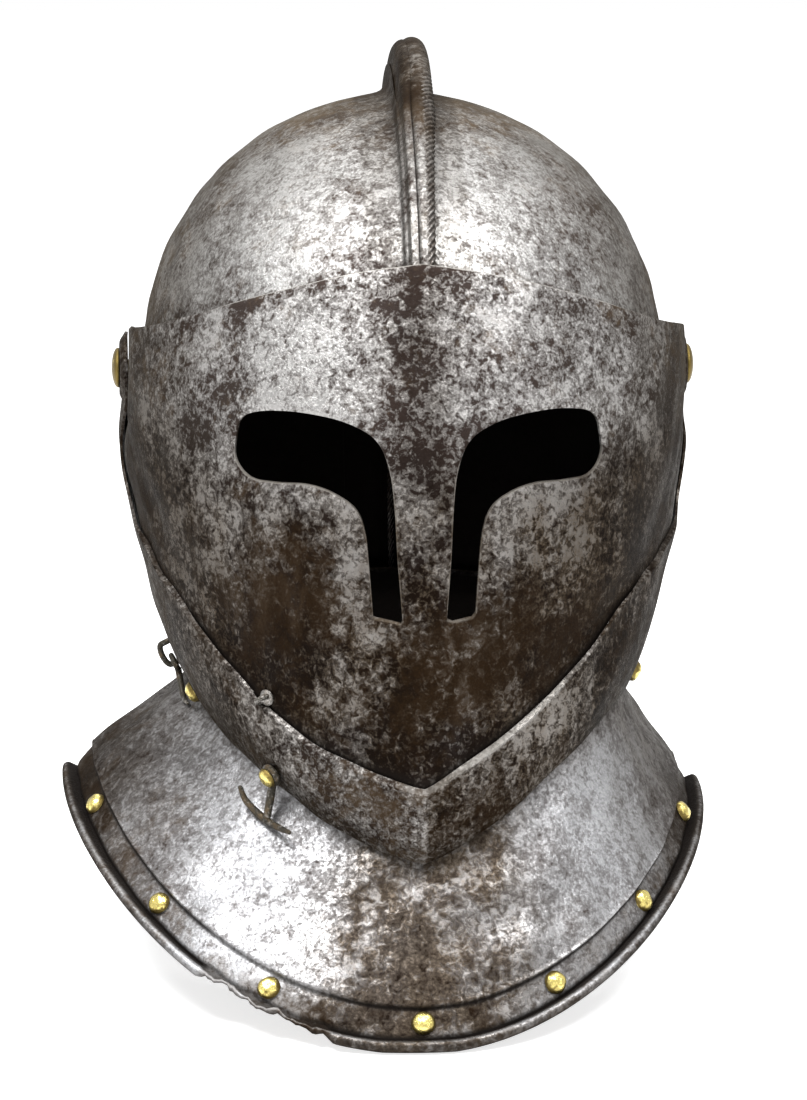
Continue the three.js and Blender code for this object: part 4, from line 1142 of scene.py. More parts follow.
    def roping(self) -> Surface:
        """Roped roll along the crest of the right half: round strands, radius R + a·|sin(phase/2)|.

        The phase grows by a full turn per pitch along the crest, and by one per strand round the roll.
        """
        fan = np.linspace(self.form.fan_start, math.pi, self.rope_rows)
        rise = self.rise(fan)
        roll = np.minimum(self.roll_radius, rise * self.rope_share)
        middle = self.comb_points(fan, np.stack([self.seam + roll, rise - roll], -1)[:, None])[:, 0]
        run = np.concatenate([[0], np.cumsum(np.linalg.norm(np.diff(middle, axis=0), axis=-1))])
        turn = np.linspace(0, 2 * math.pi, self.rope_sides, endpoint=False)
        phase = 2 * math.pi * run[:, None] / self.rope_pitch + self.rope_strands * turn
        strand = np.abs(np.sin(phase / 2))
        size = (roll - 0.25)[:, None] + self.rope_relief * (strand - 0.7)
        out = np.stack([np.zeros_like(fan), -np.cos(fan), np.sin(fan)], -1)
        round_roll = np.cos(turn)[:, None] * np.array([1.0, 0, 0]) + np.sin(turn)[:, None] * out[:, None]
        surface = closed_rings(middle[:, None] + size[..., None] * round_roll)
        whole = lambda values: np.concatenate([values.ravel(), [0, 0]])
        zero = np.zeros(len(surface.points))
        # Painted highlight on the strand crests, grime and painted shade between the strands, and an even darkening
        # over the whole roll.
        surface.marks = {
            "dirt_and_painted_shade": whole(np.clip(1 - strand * 1.6, 0, 1)), "polish": whole(strand ** 3 * 0.35), "edge_near": zero,
            "stain": zero + 0.25, "painted_shade": zero + 0.7,
        }
        return surface

    def build(self, steel: Material, comb: Material) -> None:
        """Makes the halves and the roping."""
        self.half(Side.LEFT).piece("skull_left_half", "skull", "steel", steel)
        self.half(Side.RIGHT).piece("skull_right_half", "skull", "steel", steel)
        self.roping().piece("comb_roping", "skull", "steel", comb, 180.0)


@dataclass
class Visor:
    """Full-face visor with two L-shaped slots that serve both sight and breath."""

    face: FaceForm
    rear_bearing: float = 98.0
    corner_drop: float = 4.5
    corner_start: float = 88.0
    sheet: float = 1.8
    rounding: float = 0.2
    tuck: float = 3.0
    rows: int = 112
    columns: int = 320
    pivot_bore: float = 3.55
    slot_half_span: float = 63.0
    slot_drop: float = 70.0
    slot_zone: float = 78.0
    slot_shares: Table = (
        (0.97, -0.1), (0.9, -0.03), (0.72, -0.005), (0.5, -0.02), (0.35, -0.06), (0.24, -0.13), (0.18, -0.26),
        (0.155, -0.45), (0.14, -0.7), (0.115, -0.985), (0.27, -0.96), (0.29, -0.72), (0.31, -0.55), (0.36, -0.44),
        (0.48, -0.375), (0.62, -0.345), (0.78, -0.35), (0.91, -0.34), (0.985, -0.25),
    )

    def slot_outline(self) -> Array:
        """Slot outline in the front view for +x, smooth but for the two corners at its lower end."""
        corners = np.array(self.slot_shares) * np.array([self.slot_half_span, self.slot_drop])
        rolled = np.roll(corners, -10, axis=0)
        curve = spline(np.concatenate([corners[-1:], corners[:10]])[None], 6)[0][6:]
        rest = spline(np.concatenate([rolled[:9], corners[:1]])[None], 6)[0]
        return np.concatenate([curve, rest[:-1]])

    def build(self, steel: Material) -> None:
        """Makes the visor."""
        outline = self.slot_outline()
        tuck = math.degrees(math.atan2(self.tuck, self.face.radius * 1.2))

        def params(share_u: Array, share_v: Array) -> tuple[Array, Array]:
            """Bearing and rise at shares across and up the visor."""
            bearing = self.rear_bearing * (2 * share_u - 1)
            corner = smooth(np.abs(bearing), self.corner_start, self.rear_bearing) ** 2
            top = table_value(self.face.brow_rises, np.abs(bearing)) - self.corner_drop * corner
            bottom = self.face.lip_rise(bearing) - tuck
            return bearing, bottom + (top - bottom) * share_v

        def place(share_u: Array, share_v: Array) -> Array:
            """Points at shares across and up the visor."""
            return self.face.place(*params(share_u, share_v), 0.0)

        def signed(points: Array) -> Array:
            """Distance from the slots and the pivot bores, negative inside them."""
            flat = points.reshape(-1, 3)
            value = np.hypot(flat[:, 1], flat[:, 2]) - self.pivot_bore
            front = (np.abs(flat[:, 0]) < self.slot_zone) & (flat[:, 1] < 0)
            value[front] = outline_distance(np.stack([np.abs(flat[front, 0]), flat[front, 2]], -1), outline)
            return value.reshape(points.shape[:-1])

        step = np.linspace(0, 1, self.rows + 1)
        v, u = np.meshgrid(step, np.linspace(0, 1, self.columns + 1), indexing="ij")
        u, v, triangles = cut_lattice(u, v, place, signed)
        bearing, rise = params(u, v)
        waves = self.face.waves(bearing, rise)
        outer = self.face.place(bearing, rise, waves)
        inner = self.face.place(bearing, rise, waves - self.sheet)
        x, z = outer[:, 0], outer[:, 2]
        low, wide = smooth(-z, -4, 40), smooth(np.abs(x), 60, 98)
        stain = 0.4 * smooth(np.abs(x), 75, 100) + spots(
            outer, (0.7, -52.0, -62.0, 30.0, 22.0), (0.8, 26.0, -75.0, 30.0, 18.0), (0.6, 0.0, -95.0, 40.0, 18.0),
        )
        # Painted highlights on the brow to either side and on the cheeks, a darker strip down the middle of the brow,
        # and less brightness lower down.
        polish = -0.04 * smooth(-z, 0, 60) - 0.03 + spots(
            outer, (0.05, -34.0, 24.0, 26.0, 20.0), (0.1, 32.0, 22.0, 30.0, 22.0), (0.16, -30.0, -78.0, 16.0, 10.0),
            (0.1, 58.0, -50.0, 16.0, 26.0), (-0.12, -2.0, 22.0, 11.0, 60.0),
        )
        # Painted shade over the lower face, more to the right and towards the chin, at the sides, and in a strip down
        # the middle of the brow.
        painted_shade = low * (0.72 + 0.3 * smooth(x, 16, 60)) + 0.16 * smooth(-z, 55, 90) + 0.45 * wide
        painted_shade = np.clip(painted_shade + spots(outer, (0.6, 0.0, 20.0, 13.0, 50.0)), 0, 0.96)
        # Painted shade along the seam just above the bevor's lip and over the part that passes under it.
        dirt_and_painted_shade = 0.75 * smooth(self.face.lip_rise(bearing) + 1.1 - rise, 0, 1.6)
        edge_wear_and_highlight = 1 - 0.6 * smooth(z, -18, -8) * (1 - smooth(z, 20, 34)) - 0.35 * smooth(np.abs(x), 80, 95)
        marks = {"stain": stain, "polish": polish, "dirt_and_painted_shade": dirt_and_painted_shade, "painted_shade": painted_shade, "edge_wear_and_highlight": edge_wear_and_highlight}
        thick_sheet(outer, inner, triangles, self.rounding, marks).piece("visor", "visor_body", "steel", steel)


@dataclass
class Bevor:
    """Band round the chin whose ends turn up into arms that reach the pivots; its upper edge is a turned-in lip."""

    face: FaceForm
    sheet: float = 2.2
    gap: float = 2.0
    wave_depth: float = 0.3
    rounding: float = 0.06
    lip_turn: float = 0.8
    side_thinning: float = 2.0
    rows: int = 44
    fine: int = 9
    band_steps: int = 13
    foot_bearing: float = 98.0
    pivot_bore: float = 3.55
    notch_half: float = 3.4
    notch_low: float = 3.4
    notch_high: float = -2.9
    notch_rounding: float = 0.6
    notch_zone: float = -40.0
    lip_width: float = 0.6
    turn_width: float = 1.6
    slim_width: float = 9.0
    arm_front: Table = ((84, -25.5), (88, -20), (88.5, -13), (85.2, -6.5), (83.2, -1), (84.6, 4.4), (88.6, 7))
    arm_rear: Table = ((101, -42), (104, -30), (105, -19), (101.5, -9), (97.6, -1.5), (96, 4.2), (91.6, 7))

    def edges(self) -> tuple[Array, Array]:
        """Upper and lower edge as bearing and rise, from the left arm's tip to the right arm's."""
        step = np.arange(-self.band_steps, self.band_steps + 1) / self.band_steps
        upper = self.face.band_bearing * step
        low = (self.face.band_bearing + (self.foot_bearing - self.face.band_bearing) * np.abs(step) ** 3) * step
        front, rear = np.array(self.arm_front, float), np.array(self.arm_rear, float)
        mirror = np.array([-1, 1])
        top = np.concatenate([front[::-1] * mirror, np.stack([upper, self.face.lip_rise(upper)], -1), front])
        foot = np.concatenate([rear[::-1] * mirror, np.stack([low, self.face.foot_rise(low)], -1), rear])
        return spline(top[None], self.fine)[0], spline(foot[None], self.fine)[0]

    def build(self, steel: Material, stud: Seat) -> None:
        """Makes the bevor, with a notch in its lip for the visor's stud."""
        top, foot = self.edges()
        columns = len(top) - 1
        outside = self.gap + self.sheet
        level = unit(np.cross(np.array([0, stud.point[2], -stud.point[1]]), stud.normal))
        down = unit(np.cross(level, stud.normal))
        middle, half = (self.notch_low + self.notch_high) / 2, (self.notch_low - self.notch_high) / 2

        def params(u: Array, v: Array) -> tuple[Array, Array]:
            """Bearing and rise at a step along the edges and a share down from the lip."""
            index = np.clip(u, 0, columns)
            read = lambda edge, k: np.interp(index, np.arange(columns + 1), edge[:, k])
            return tuple(read(top, k) + (read(foot, k) - read(top, k)) * v for k in (0, 1))

        def place(u: Array, v: Array) -> Array:
            """Points of the outer skin before its waves."""
            return self.face.place(*params(u, v), outside)

        def signed(points: Array) -> Array:
            """Distance from the stud's notch and the pivot bores, negative inside them."""
            away = points - stud.point
            across = np.abs(away @ level) - self.notch_half
            along = np.abs(away @ down - middle) - half
            box = np.hypot(np.maximum(across, 0), np.maximum(along, 0)) + np.minimum(np.maximum(across, along), 0)
            bore = np.hypot(points[..., 1], points[..., 2]) - self.pivot_bore
            return np.where(points[..., 1] < self.notch_zone, box - self.notch_rounding, bore)

        share = np.linspace(0, 1, self.rows + 1) ** 1.25
        v, u = np.meshgrid(share, np.arange(columns + 1, dtype=float), indexing="ij")
        u, v, triangles = cut_lattice(u, v, place, signed)
        bearing, rise = params(u, v)
        wide = np.abs(bearing)
        flat = place(u, v)
        waves = hammered(flat, self.wave_depth)
        top_gap = np.linalg.norm(flat - place(u, 0 * v), axis=-1)
        middle_share = smooth(-wide, -40, -24)
        lip = np.exp(-((top_gap / self.lip_width) ** 2)) * middle_share
        slim = smooth(wide, 6, 46) * smooth(np.hypot(flat[:, 1], flat[:, 2]), 9.0, 14.0)
        slim = slim * np.maximum(np.exp(-((top_gap / self.slim_width) ** 2)), smooth(rise, -48, -34))
        tight = smooth(wide, 44, 52) * (1 - smooth(wide, 70, 80))
        turned_in = (self.lip_turn + 1.1 * tight) * np.exp(-((top_gap / self.turn_width) ** 2))
        turned_in = np.maximum(turned_in, (0.9 + 0.7 * tight) * slim)
        follow = self.face.waves(bearing, rise)
        outer = self.face.place(bearing, rise, outside + waves - self.side_thinning * slim)
        inner = self.face.place(bearing, rise, self.gap + waves + (follow - waves) * tight - turned_in)
        x = outer[:, 0]
        keel = np.exp(-np.abs(x) / 0.9)
        stain = 0.4 * smooth(np.abs(x), 40, 80) + 0.5 * smooth(-outer[:, 2], 105, 130)
        # Painted highlights: a bright line along the lip's ledge right of the middle, a patch low on the left, and a
        # bright line down the keel.
        polish = 0.12 * lip * smooth(bearing, -10, 2) + spots(outer, (0.06, -22.0, -118.0, 22.0, 16.0))
        polish = polish - 0.05 + 0.2 * keel
        # Painted shade: the right facet darker than the left and the far left darker again, with less of it along the
        # lip and down the keel.
        painted_facet_shade = np.clip(0.42 + 0.46 * smooth(x, -1.0, 1.5) + 0.3 * smooth(-x, 30, 62), 0, 0.96)
        painted_shade = painted_facet_shade * (1 - (0.1 + 0.2 * smooth(bearing, -8, 10)) * lip) * (1 - 0.5 * keel)
        # Edge wear along the lip, stronger on its right part, where the worn colour also stands for a painted highlight
        # on the ledge.
        edge_wear_and_highlight = 0.25 + (0.48 + 0.27 * smooth(bearing, -8, 4)) * middle_share
        marks = {"stain": stain, "polish": polish, "dirt_and_painted_shade": 0 * keel, "painted_shade": painted_shade, "edge_wear_and_highlight": edge_wear_and_highlight}
        thick_sheet(outer, inner, triangles, self.rounding, marks).piece("bevor", "bevor_body", "steel", steel)


@dataclass
class Gorget:
    """Two flared plates with a sunken border, a rolled rim torn at one place, and the leather bands behind it."""

    form: GorgetForm
    front_side: float = 91.0
    rear_start: float = 85.0
    columns: int = 330
    ground: float = -205.0
    tear: tuple[float, float] = (-36.0, -15.0)
    roll_points: int = 15
    wave_depth: float = 0.55
    rounding: float = 0.2
    strap_rounding: float = 0.25
    strap_shares: tuple[float, float] = (0.76, 0.945)
    spans: tuple[tuple[float, float], ...] = ((-82, 82), (116, 244))

    def torn(self, bearing: Array, plate: Plate) -> Array:
        """Share of the roll that is broken off, 1 inside the torn stretch."""
        if plate is Plate.REAR:
            return np.zeros_like(bearing)
        first, last = self.tear
        return smooth(bearing, first - 1.5, first + 0.5) * (1 - smooth(bearing, last - 1, last + 1.5))

    def profile(self) -> Array:
        """Rows of share, lift in mm and darkening from the collar to the roll: the plain sheet, the step and the
        border. The darkening is grime and painted shade at the step.
        """
        edge, step = self.form.border_share, self.form.border_step
        broad = [-1, -0.7, -0.35, *np.linspace(0, edge - 0.008, 40)]
        return np.array([
            *((s, 0.0, 0.0) for s in broad), (edge - 0.003, 0.28, 0.0), (edge + 0.001, 0.12, 0.25),
            (edge + 0.005, -0.75, 0.9), (edge + 0.011, -step, 0.75), (edge + 0.018, -step, 0.25),
            *((s, -step, 0.0) for s in np.linspace(edge + 0.028, 0.935, 8)),
            (0.947, -step - 0.15, 0.45), (0.958, -step - 0.5, 1.0), (0.97, -step - 0.7, 1.0),
        ]).T[:, None]

    def skins(self, plate: Plate, bearing: Array, share: Array, lift: Array) -> tuple[Array, Array]:
        """Outer and inner skin of one plate, with its hammer waves, its roll as two arcs and the tear in it."""
        f, torn = self.form, self.torn(bearing, plate)
        flat, _ = f.surface(plate, bearing, share, 0.0)
        drag = torn * (1.1 + 0.9 * ragged(bearing, 2.0)) * smooth(share, 0.9, 0.97)
        waves = hammered(flat, self.wave_depth) * smooth(share, 0.05, 0.3)
        ends = 0.0
        if plate is Plate.REAR:
            waves = waves * (1 - smooth(np.abs(bearing - 180), 60, 66))
            ends = 0.65 * smooth(np.abs(bearing - 180), 80, 84)
        outer, normal = f.surface(plate, bearing, share - 0.012 * drag, lift + waves)
        inner = outer - normal * (f.sheet + 0.3 * (lift > 0.1))[..., None]
        rim, _ = f.surface(plate, bearing, 1.0, 0.0)
        b = np.radians(bearing)
        worn = torn * (0.62 + 0.25 * ragged(bearing * 1.7, 1.0))
        radius = f.roll_wire * (1 + 0.045 * ragged(bearing * 0.16, 5.0) - ends) * (1 - worn)
        pull = torn * (1.2 + 1.1 * ragged(bearing * 1.3, 3.0))
        skins = []
        for skin, first, last in ((outer, 118, -78), (inner, 165, 242)):
            turn = np.radians(np.linspace(first, last, self.roll_points))
            reach = f.roll_radius - f.roll_wire + radius * np.cos(turn) - pull
            roll = rim + np.stack([reach * np.sin(b), -reach * np.cos(b), radius * np.sin(turn) + pull * 0.7], -1)
            skins.append(np.concatenate([skin, roll], 1))
            skins[-1][..., 2] = np.maximum(skins[-1][..., 2], self.ground)
        return tuple(skins)

    def plate(self, plate: Plate) -> Surface:
        """One plate with the marks for its border, its roll, and the painted highlights and painted shade at the bright
        and dark places of the photograph.
        """
        start = -self.front_side if plate is Plate.FRONT else self.rear_start
        end = self.front_side if plate is Plate.FRONT else 360 - self.rear_start
        bearing = np.linspace(start, end, self.columns + 1)[:, None]
        share, lift, dirt_and_shade = self.profile()
        outer, inner = self.skins(plate, bearing, share, lift)
        torn, along = self.torn(bearing, plate), np.arange(self.roll_points)
        extended = lambda row, roll: np.concatenate([row, np.broadcast_to(roll, (1, self.roll_points))], 1)
        reach = extended(share, 1.0)
        band = smooth(reach, 0.8, 0.84)
        # Painted highlight along the top of the roll, and painted shade on its underside.
        roll_top_highlight = extended(0 * share, np.exp(-(((along - 3.6) / 1.3) ** 2)))
        roll_underside_shade = extended(0 * share, smooth(along, 5, 9))
        # Grime and painted shade in the groove next to the roll and under it.
        fading = np.concatenate([np.linspace(0.9, 0.0, 5), np.zeros(self.roll_points - 5)])
        dirt_and_painted_shade = extended(dirt_and_shade, fading) * (1 - 0.4 * torn) + 0.4 * roll_underside_shade
        # Patches at the upper left corner and the upper right that rust and painted shade darken.
        corner, edge = spots(outer, (1.0, -108.0, -132.0, 26.0, 26.0)), spots(outer, (1.0, 98.0, -138.0, 26.0, 40.0))
        # Painted highlights: glare to either side, and bright spots on the lower border.
        glare = spots(outer, (1.0, -52.0, -160.0, 30.0, 30.0), (1.0, 66.0, -150.0, 30.0, 34.0))
        painted_border_highlight = spots(outer, (1.0, -84.0, -192.0, 30.0, 22.0), (0.5, 52.0, -196.0, 40.0, 14.0)) * band
        # Painted shade under the chin and along the collar right of the middle.
        shade = smooth(bearing, -4, 8) * smooth(-reach, -0.34, -0.04) + spots(
            outer, (1.4, 8.0, -182.0, 44.0, 26.0), (1.4, 8.0, -148.0, 26.0, 14.0), (1.4, -10.0, -178.0, 30.0, 32.0),
        )
        stain = 0.75 * torn * smooth(reach, 0.8, 0.95) + 0.35 * band + 0.2 * smooth(-reach, -0.15, 0.0) + 0.5 * corner
        stain = stain + (0.25 if plate is Plate.REAR else 0.0)
        # The highlight mark paints glare, the bright border spots and the roll's top; the shade mark paints shade under
        # the chin, at the collar, the corners, the upper right, the border and under the roll.
        polish = 0.34 * glare - 0.12 * edge - 0.06 * band + 0.45 * painted_border_highlight + 0.3 * roll_top_highlight
        painted_shade = 0.36 + 0.24 * band - 0.36 * glare + 0.42 * shade - 0.6 * painted_border_highlight - 0.3 * roll_top_highlight + 0.3 * roll_underside_shade
        painted_shade = painted_shade + 0.2 * smooth(-reach, -0.2, 0.0) + 0.45 * edge + 0.4 * corner
        marks = {"dirt_and_painted_shade": dirt_and_painted_shade, "stain": stain, "polish": polish, "painted_shade": np.clip(painted_shade, 0, 0.95)}
        return grid_sheet(outer, inner, self.rounding, marks)

    def band(self, plate: Plate, span: tuple[float, float]) -> Surface:
        """Leather strip behind the sunken border, its faces a strap's thickness apart."""
        f = self.form
        bearing, share = np.linspace(*span, 121)[:, None], np.linspace(*self.strap_shares, 13)[None]
        outer, normal = f.surface(plate, bearing, share, -f.border_step - f.sheet - f.facet_gap)
        return grid_sheet(outer, outer - normal * f.strap, self.strap_rounding, {})

    def build(self, steel: Material, leather: Material) -> None:
        """Makes both plates and both bands."""
        bodies = {Plate.FRONT: "bevor_body", Plate.REAR: "skull"}
        for plate, body in bodies.items():
            self.plate(plate).piece(f"{plate.value}_gorget_plate", body, "steel", steel)
        for (plate, body), span in zip(bodies.items(), self.spans):
            self.band(plate, span).piece(f"{plate.value}_lining_band", body, "leather", leather)


def rim_mark(rows: int, sides: int, rim: int, fall: float, base: float = 0.0, share: float = 1.0) -> Array:
    """Mark of a turned cap: base + share·exp(−|row − rim| / fall), and 0 at both closing points."""
    marks = base + share * np.exp(-np.abs(np.arange(rows) - rim) / fall)
    return np.concatenate([np.repeat(marks, sides), [0, 0]])


def dome(steps: int, radius: float, height: float, foot: float) -> list[tuple[float, float]]:
    """Profile of a hand-made cap from its top to its rim: height·(1 − (r/R)^2.4)^0.6 above the foot."""
    return [(k * radius, foot + height * (1 - k ** 2.4) ** 0.6) for k in np.linspace(0, 1, steps)]


@dataclass
class Rivets:
    """Brass-capped rivets of the borders, collar and nape, and the two pivot bolts with their nuts."""

    face: FaceForm
    skull: SkullForm
    gorget: GorgetForm
    head_radius: float = 3.9
    head_height: float = 2.5
    shank_radius: float = 1.8
    tail_radius: float = 2.8
    tail_height: float = 0.7
    tail_gap: float = 0.6
    outside: float = 4.2
    pivot_radius: float = 7.2
    pivot_height: float = 2.3
    pivot_shank: float = 3.0
    nut_height: float = 2.6
    above_foot: float = 1.6
    front_bearings: Sequence[float] = (-72, -48, -25, 0, 25, 48, 72)
    rear_bearings: Sequence[float] = (122, 140, 160, 200, 220, 238)
    collar_bearing: float = 62.0
    collar_grip: float = 5.0
    nape: tuple[float, float] = (177.8, 28.0)
    nape_grip: float = 4.8

    def cap(self, grip: float, seed: float) -> Surface:
        """Domed cap, shank and hammered tail."""
        sides, tail, end, wide = 36, -grip - self.tail_gap, self.tail_radius, self.head_radius
        profile = dome(11, wide, self.head_height, 0.45) + [
            (wide * 1.02, 0.25), (wide * 0.97, 0.02), (self.shank_radius, 0.0), (self.shank_radius, tail), (end, tail),
            (end, tail - 0.4), (end * 0.8, tail - self.tail_height), (0, tail - self.tail_height),
        ]
        made = lathe(profile, sides, 0.02, seed)
        made.marks["edge_near"] = rim_mark(len(profile), sides, 10, 1.3)
        dent = 0.16 * np.sin(made.points[:, 0] * 1.3 + seed) * np.cos(made.points[:, 2] * 1.1 + 2 * seed)
        made.points[:, 1] += dent * (made.points[:, 1] > 0.5)
        return made

    def bolt(self) -> Surface:
        """Pivot bolt: a low dome, and a shank through the three sheets."""
        sides, foot = 48, -self.stack()[1] - 3.5
        r = np.sin(np.linspace(0, math.pi / 2, 14))
        top = self.pivot_height * np.sqrt(np.maximum(1 - r ** 2, 0))
        profile = [*zip(r * self.pivot_radius, 0.5 + top), (self.pivot_radius * 0.98, 0.1)]
        profile += [(self.pivot_shank, 0.05), (self.pivot_shank, foot), (0, foot)]
        made = lathe(profile, sides)
        made.marks["edge_near"] = rim_mark(len(profile), sides, 13, 3.5, 0.8, 0.5)
        return made

    def stack(self) -> tuple[float, float]:
        """Distance of the arm's outside from the middle, and the thickness that the bolt grips."""
        rise = math.degrees(math.atan2(self.pivot_radius, self.face.half_width))
        outside = self.face.place(90.0, rise, self.outside)[0]
        inside = self.skull.axes[0] * math.sqrt(1 - (self.skull.centre[1] / self.skull.axes[1]) ** 2) - self.skull.sheet
        return outside, outside - inside + 1.0

    def nut(self) -> Surface:
        """Nut plate inside the skull: a turned ring with broken edges and a bore for the bolt."""
        top = -self.stack()[1] - 0.9
        low = top - self.nut_height
        profile = np.array([
            (3.15, low + 0.3), (3.5, low), (5.6, low), (6.0, low + 0.4), (6.0, top - 0.3), (5.7, top), (3.5, top),
            (3.15, top - 0.2),
        ])
        return looped_rings(turned(profile, 48))

    def build(self, brass: Material, iron: Material) -> None:
        """Makes every rivet and both pivots."""
        border = self.gorget.sheet + self.gorget.facet_gap + self.gorget.strap
        plan: list[tuple[str, str, Seat, float]] = []
        for plate, body, bearings in (
            (Plate.FRONT, "bevor_body", self.front_bearings), (Plate.REAR, "skull", self.rear_bearings),
        ):
            for k, bearing in enumerate(bearings):
                seat = self.gorget.seat(plate, bearing, self.gorget.band_middle_share)
                plan.append((f"{plate.value}_gorget_rivet_{k + 1}", body, seat, border))
        for side in Side:
            bearing = self.collar_bearing * side.value
            seat = self.face.seat(bearing, self.face.foot_rise(bearing) + self.above_foot, self.outside)
            plan.append((f"collar_rivet_{side.name.lower()}", "bevor_body", seat, self.collar_grip))
        for side in Side:
            plan.append((f"nape_rivet_{side.name.lower()}", "skull", self.skull.seat(side, *self.nape), self.nape_grip))
        for k, (name, body, seat, grip) in enumerate(plan):
            seated(self.cap(grip, 0.9 * k), seat).piece(name, body, "brass", brass)
        for side in Side:
            outward = np.array([float(side.value), 0.0, 0.0])
            seat = Seat(outward * self.stack()[0], outward, UP)
            seated(self.bolt(), seat).piece(f"pivot_bolt_{side.name.lower()}", "skull", "brass", brass)
            seated(self.nut(), seat).piece(f"pivot_nut_{side.name.lower()}", "skull", "iron", iron)


@dataclass
class Fastenings:
    """Hooks, their rivet and staple, and the pierced studs that take them."""

    face: FaceForm
    skull: SkullForm
    gorget: GorgetForm
    bar: float = 1.3
    reach: float = 20.0
    eye: float = 4.2
    stud_eye: float = 2.9
    stud_wire: float = 0.95
    eye_turn: float = 0.9
    stud_standoff: float = 2.9
    outside: float = 4.2
    tail: float = 0.6
    staple_wire: float = 1.1
    staple_height: float = 8.5
    staple_standoff: float = 5.0
    gate_eye: float = 2.9
    gate_wire: float = 1.0
    gate_shank: Table = ((-71, 0.25), (-67.2, 0.242))
    stud_bearing: float = -27.6
    skull_stud_place: tuple[float, float] = (88.0, 80.0)
    hook_place: tuple[float, float] = (-26.6, 2.6)
    staple_place: tuple[float, float] = (-75.0, 4.4)

    def visor_stud_seat(self) -> Seat:
        """Seat of the visor's stud, just above the bevor's lip."""
        return self.face.seat(self.stud_bearing, self.face.lip_rise(self.stud_bearing) + 0.5, 0.0)

    def stud(self, grip: float) -> Surface:
        """Pierced stud: a shank through the sheet under an eye whose hole runs level."""
        foot = -grip - self.tail
        profile = (
            (0, foot - 0.7), (2.3, foot - 0.7), (2.8, foot - 0.4), (2.8, foot), (1.8, foot), (1.8, 0.3), (2.8, 0.35),
            (2.9, 0.9), (2.3, 1.5), (1.5, 1.9), (0, 2.1),
        )
        eye = ring(self.stud_eye - self.stud_wire, self.stud_wire)
        c, d = math.cos(self.eye_turn), math.sin(self.eye_turn)
        upright = eye.points[:, [1, 0, 2]] * np.array([1.0, 1.0, -1.0]) @ np.array([[c, 0, d], [0, 1, 0], [-d, 0, c]])
        eye = Surface(upright + np.array([0, self.stud_standoff, 0]), eye.triangles).outward()
        return lathe(profile, 28).joined(eye)

    def bent(self, points: Array, radii: Sequence[float], steps: int = 10) -> Surface:
        """Forged bar through points, its radius changing evenly between the given ones."""
        path = spline(points[None], steps)[0]
        return tube(path, np.interp(np.linspace(0, 1, len(path)), np.linspace(0, 1, len(radii)), radii))

    def front_hook(self) -> Surface:
        """Hook of the bevor: an eye on the rivet, a short shank and two curved flukes with thin tips."""
        lift = 0.6 + self.bar
        middle = self.eye - self.bar
        eye = ring(middle, self.bar)
        eye.points[:, 1] += lift
        shank = np.array([[0, lift, middle], *(self.reach * np.array([[0.06, 0.275, 0.385], [0.165, 0.5, 0.615]]))])
        flukes = self.reach * np.array([
            [-0.49, 0.475, 0.28], [-0.37, 0.5, 0.5], [0.02, 0.5, 0.66], [0.44, 0.51, 0.63], [0.86, 0.53, 0.52],
        ])
        return eye.joined(self.bent(shank, (1.35, 1.45, 1.3)), self.bent(flukes, (0.8, 1.15, 1.4, 1.2, 0.75)))

    def hook_rivet(self) -> Surface:
        """Brass-capped rivet that the front hook turns on."""
        head, foot, sides = 0.6 + 2 * self.bar + 0.3, -5.0 - self.tail, 32
        profile = dome(9, 3.6, 2.0, head + 0.35) + [
            (3.55, head), (1.3, head), (1.3, foot), (2.8, foot), (2.6, foot - 0.6), (0, foot - 0.7),
        ]
        made = lathe(profile, sides, 0.02, 1.0)
        made.marks["edge_near"] = rim_mark(len(profile), sides, 8, 1.3)
        return made

    def staple(self) -> Surface:
        """Wire staple: two legs through the sheet and a round bow."""
        half = self.staple_height / 2
        foot, shoulder = -3.4, self.staple_standoff - half * 0.5
        bow, waist = np.linspace(0, math.pi, 15), (foot + shoulder) / 2
        high = shoulder + (self.staple_standoff - shoulder) * 0.75 * np.sin(bow)
        path = np.concatenate([
            [[0, foot, half], [0, waist, half]], np.stack([0 * bow, high, half * np.cos(bow)], -1),
            [[0, waist, -half], [0, foot, -half]],
        ])
        return tube(path, np.full(len(path), self.staple_wire))

    def side_hook(self, seat: Seat) -> Surface:
        """Gate hook: a ring on the staple and a thin pointed shank that lies over the gorget."""
        lift = self.gate_wire + 0.6
        half = self.staple_height / 2
        eye = ring(self.gate_eye, self.gate_wire)
        eye.points += np.array([0, lift, half])
        start = seat.put(np.array([0, lift, half + self.gate_eye]))
        tips = [self.gorget.surface(Plate.FRONT, b, s, self.gate_wire + 0.8)[0] for b, s in self.gate_shank]
        shank = self.bent(np.array([start, *tips]), (1.25, 1.1, 0.6))
        return seated(eye, seat).joined(shank)

    def build(self, iron: Material, rubbed: Material, brass: Material) -> None:
        """Makes every fastening."""
        on_foot = lambda bearing, above: self.face.seat(bearing, self.face.foot_rise(bearing) + above, self.outside)
        hook, staple = on_foot(*self.hook_place), on_foot(*self.staple_place)
        seated(self.stud(1.8), self.visor_stud_seat()).piece("visor_stud", "visor_body", "iron", rubbed)
        on_skull = self.skull.seat(Side.LEFT, *self.skull_stud_place)
        seated(self.stud(2.0), on_skull).piece("skull_stud", "skull", "iron", iron)
        seated(self.front_hook(), hook).piece("front_hook", "front_hook_body", "iron", iron)
        seated(self.hook_rivet(), hook).piece("front_hook_rivet", "bevor_body", "brass", brass)
        seated(self.staple(), staple).piece("side_staple", "bevor_body", "iron", iron)
        self.side_hook(staple).piece("side_hook", "side_hook_body", "iron", iron)


# ---------------------------------------------------------------- studio


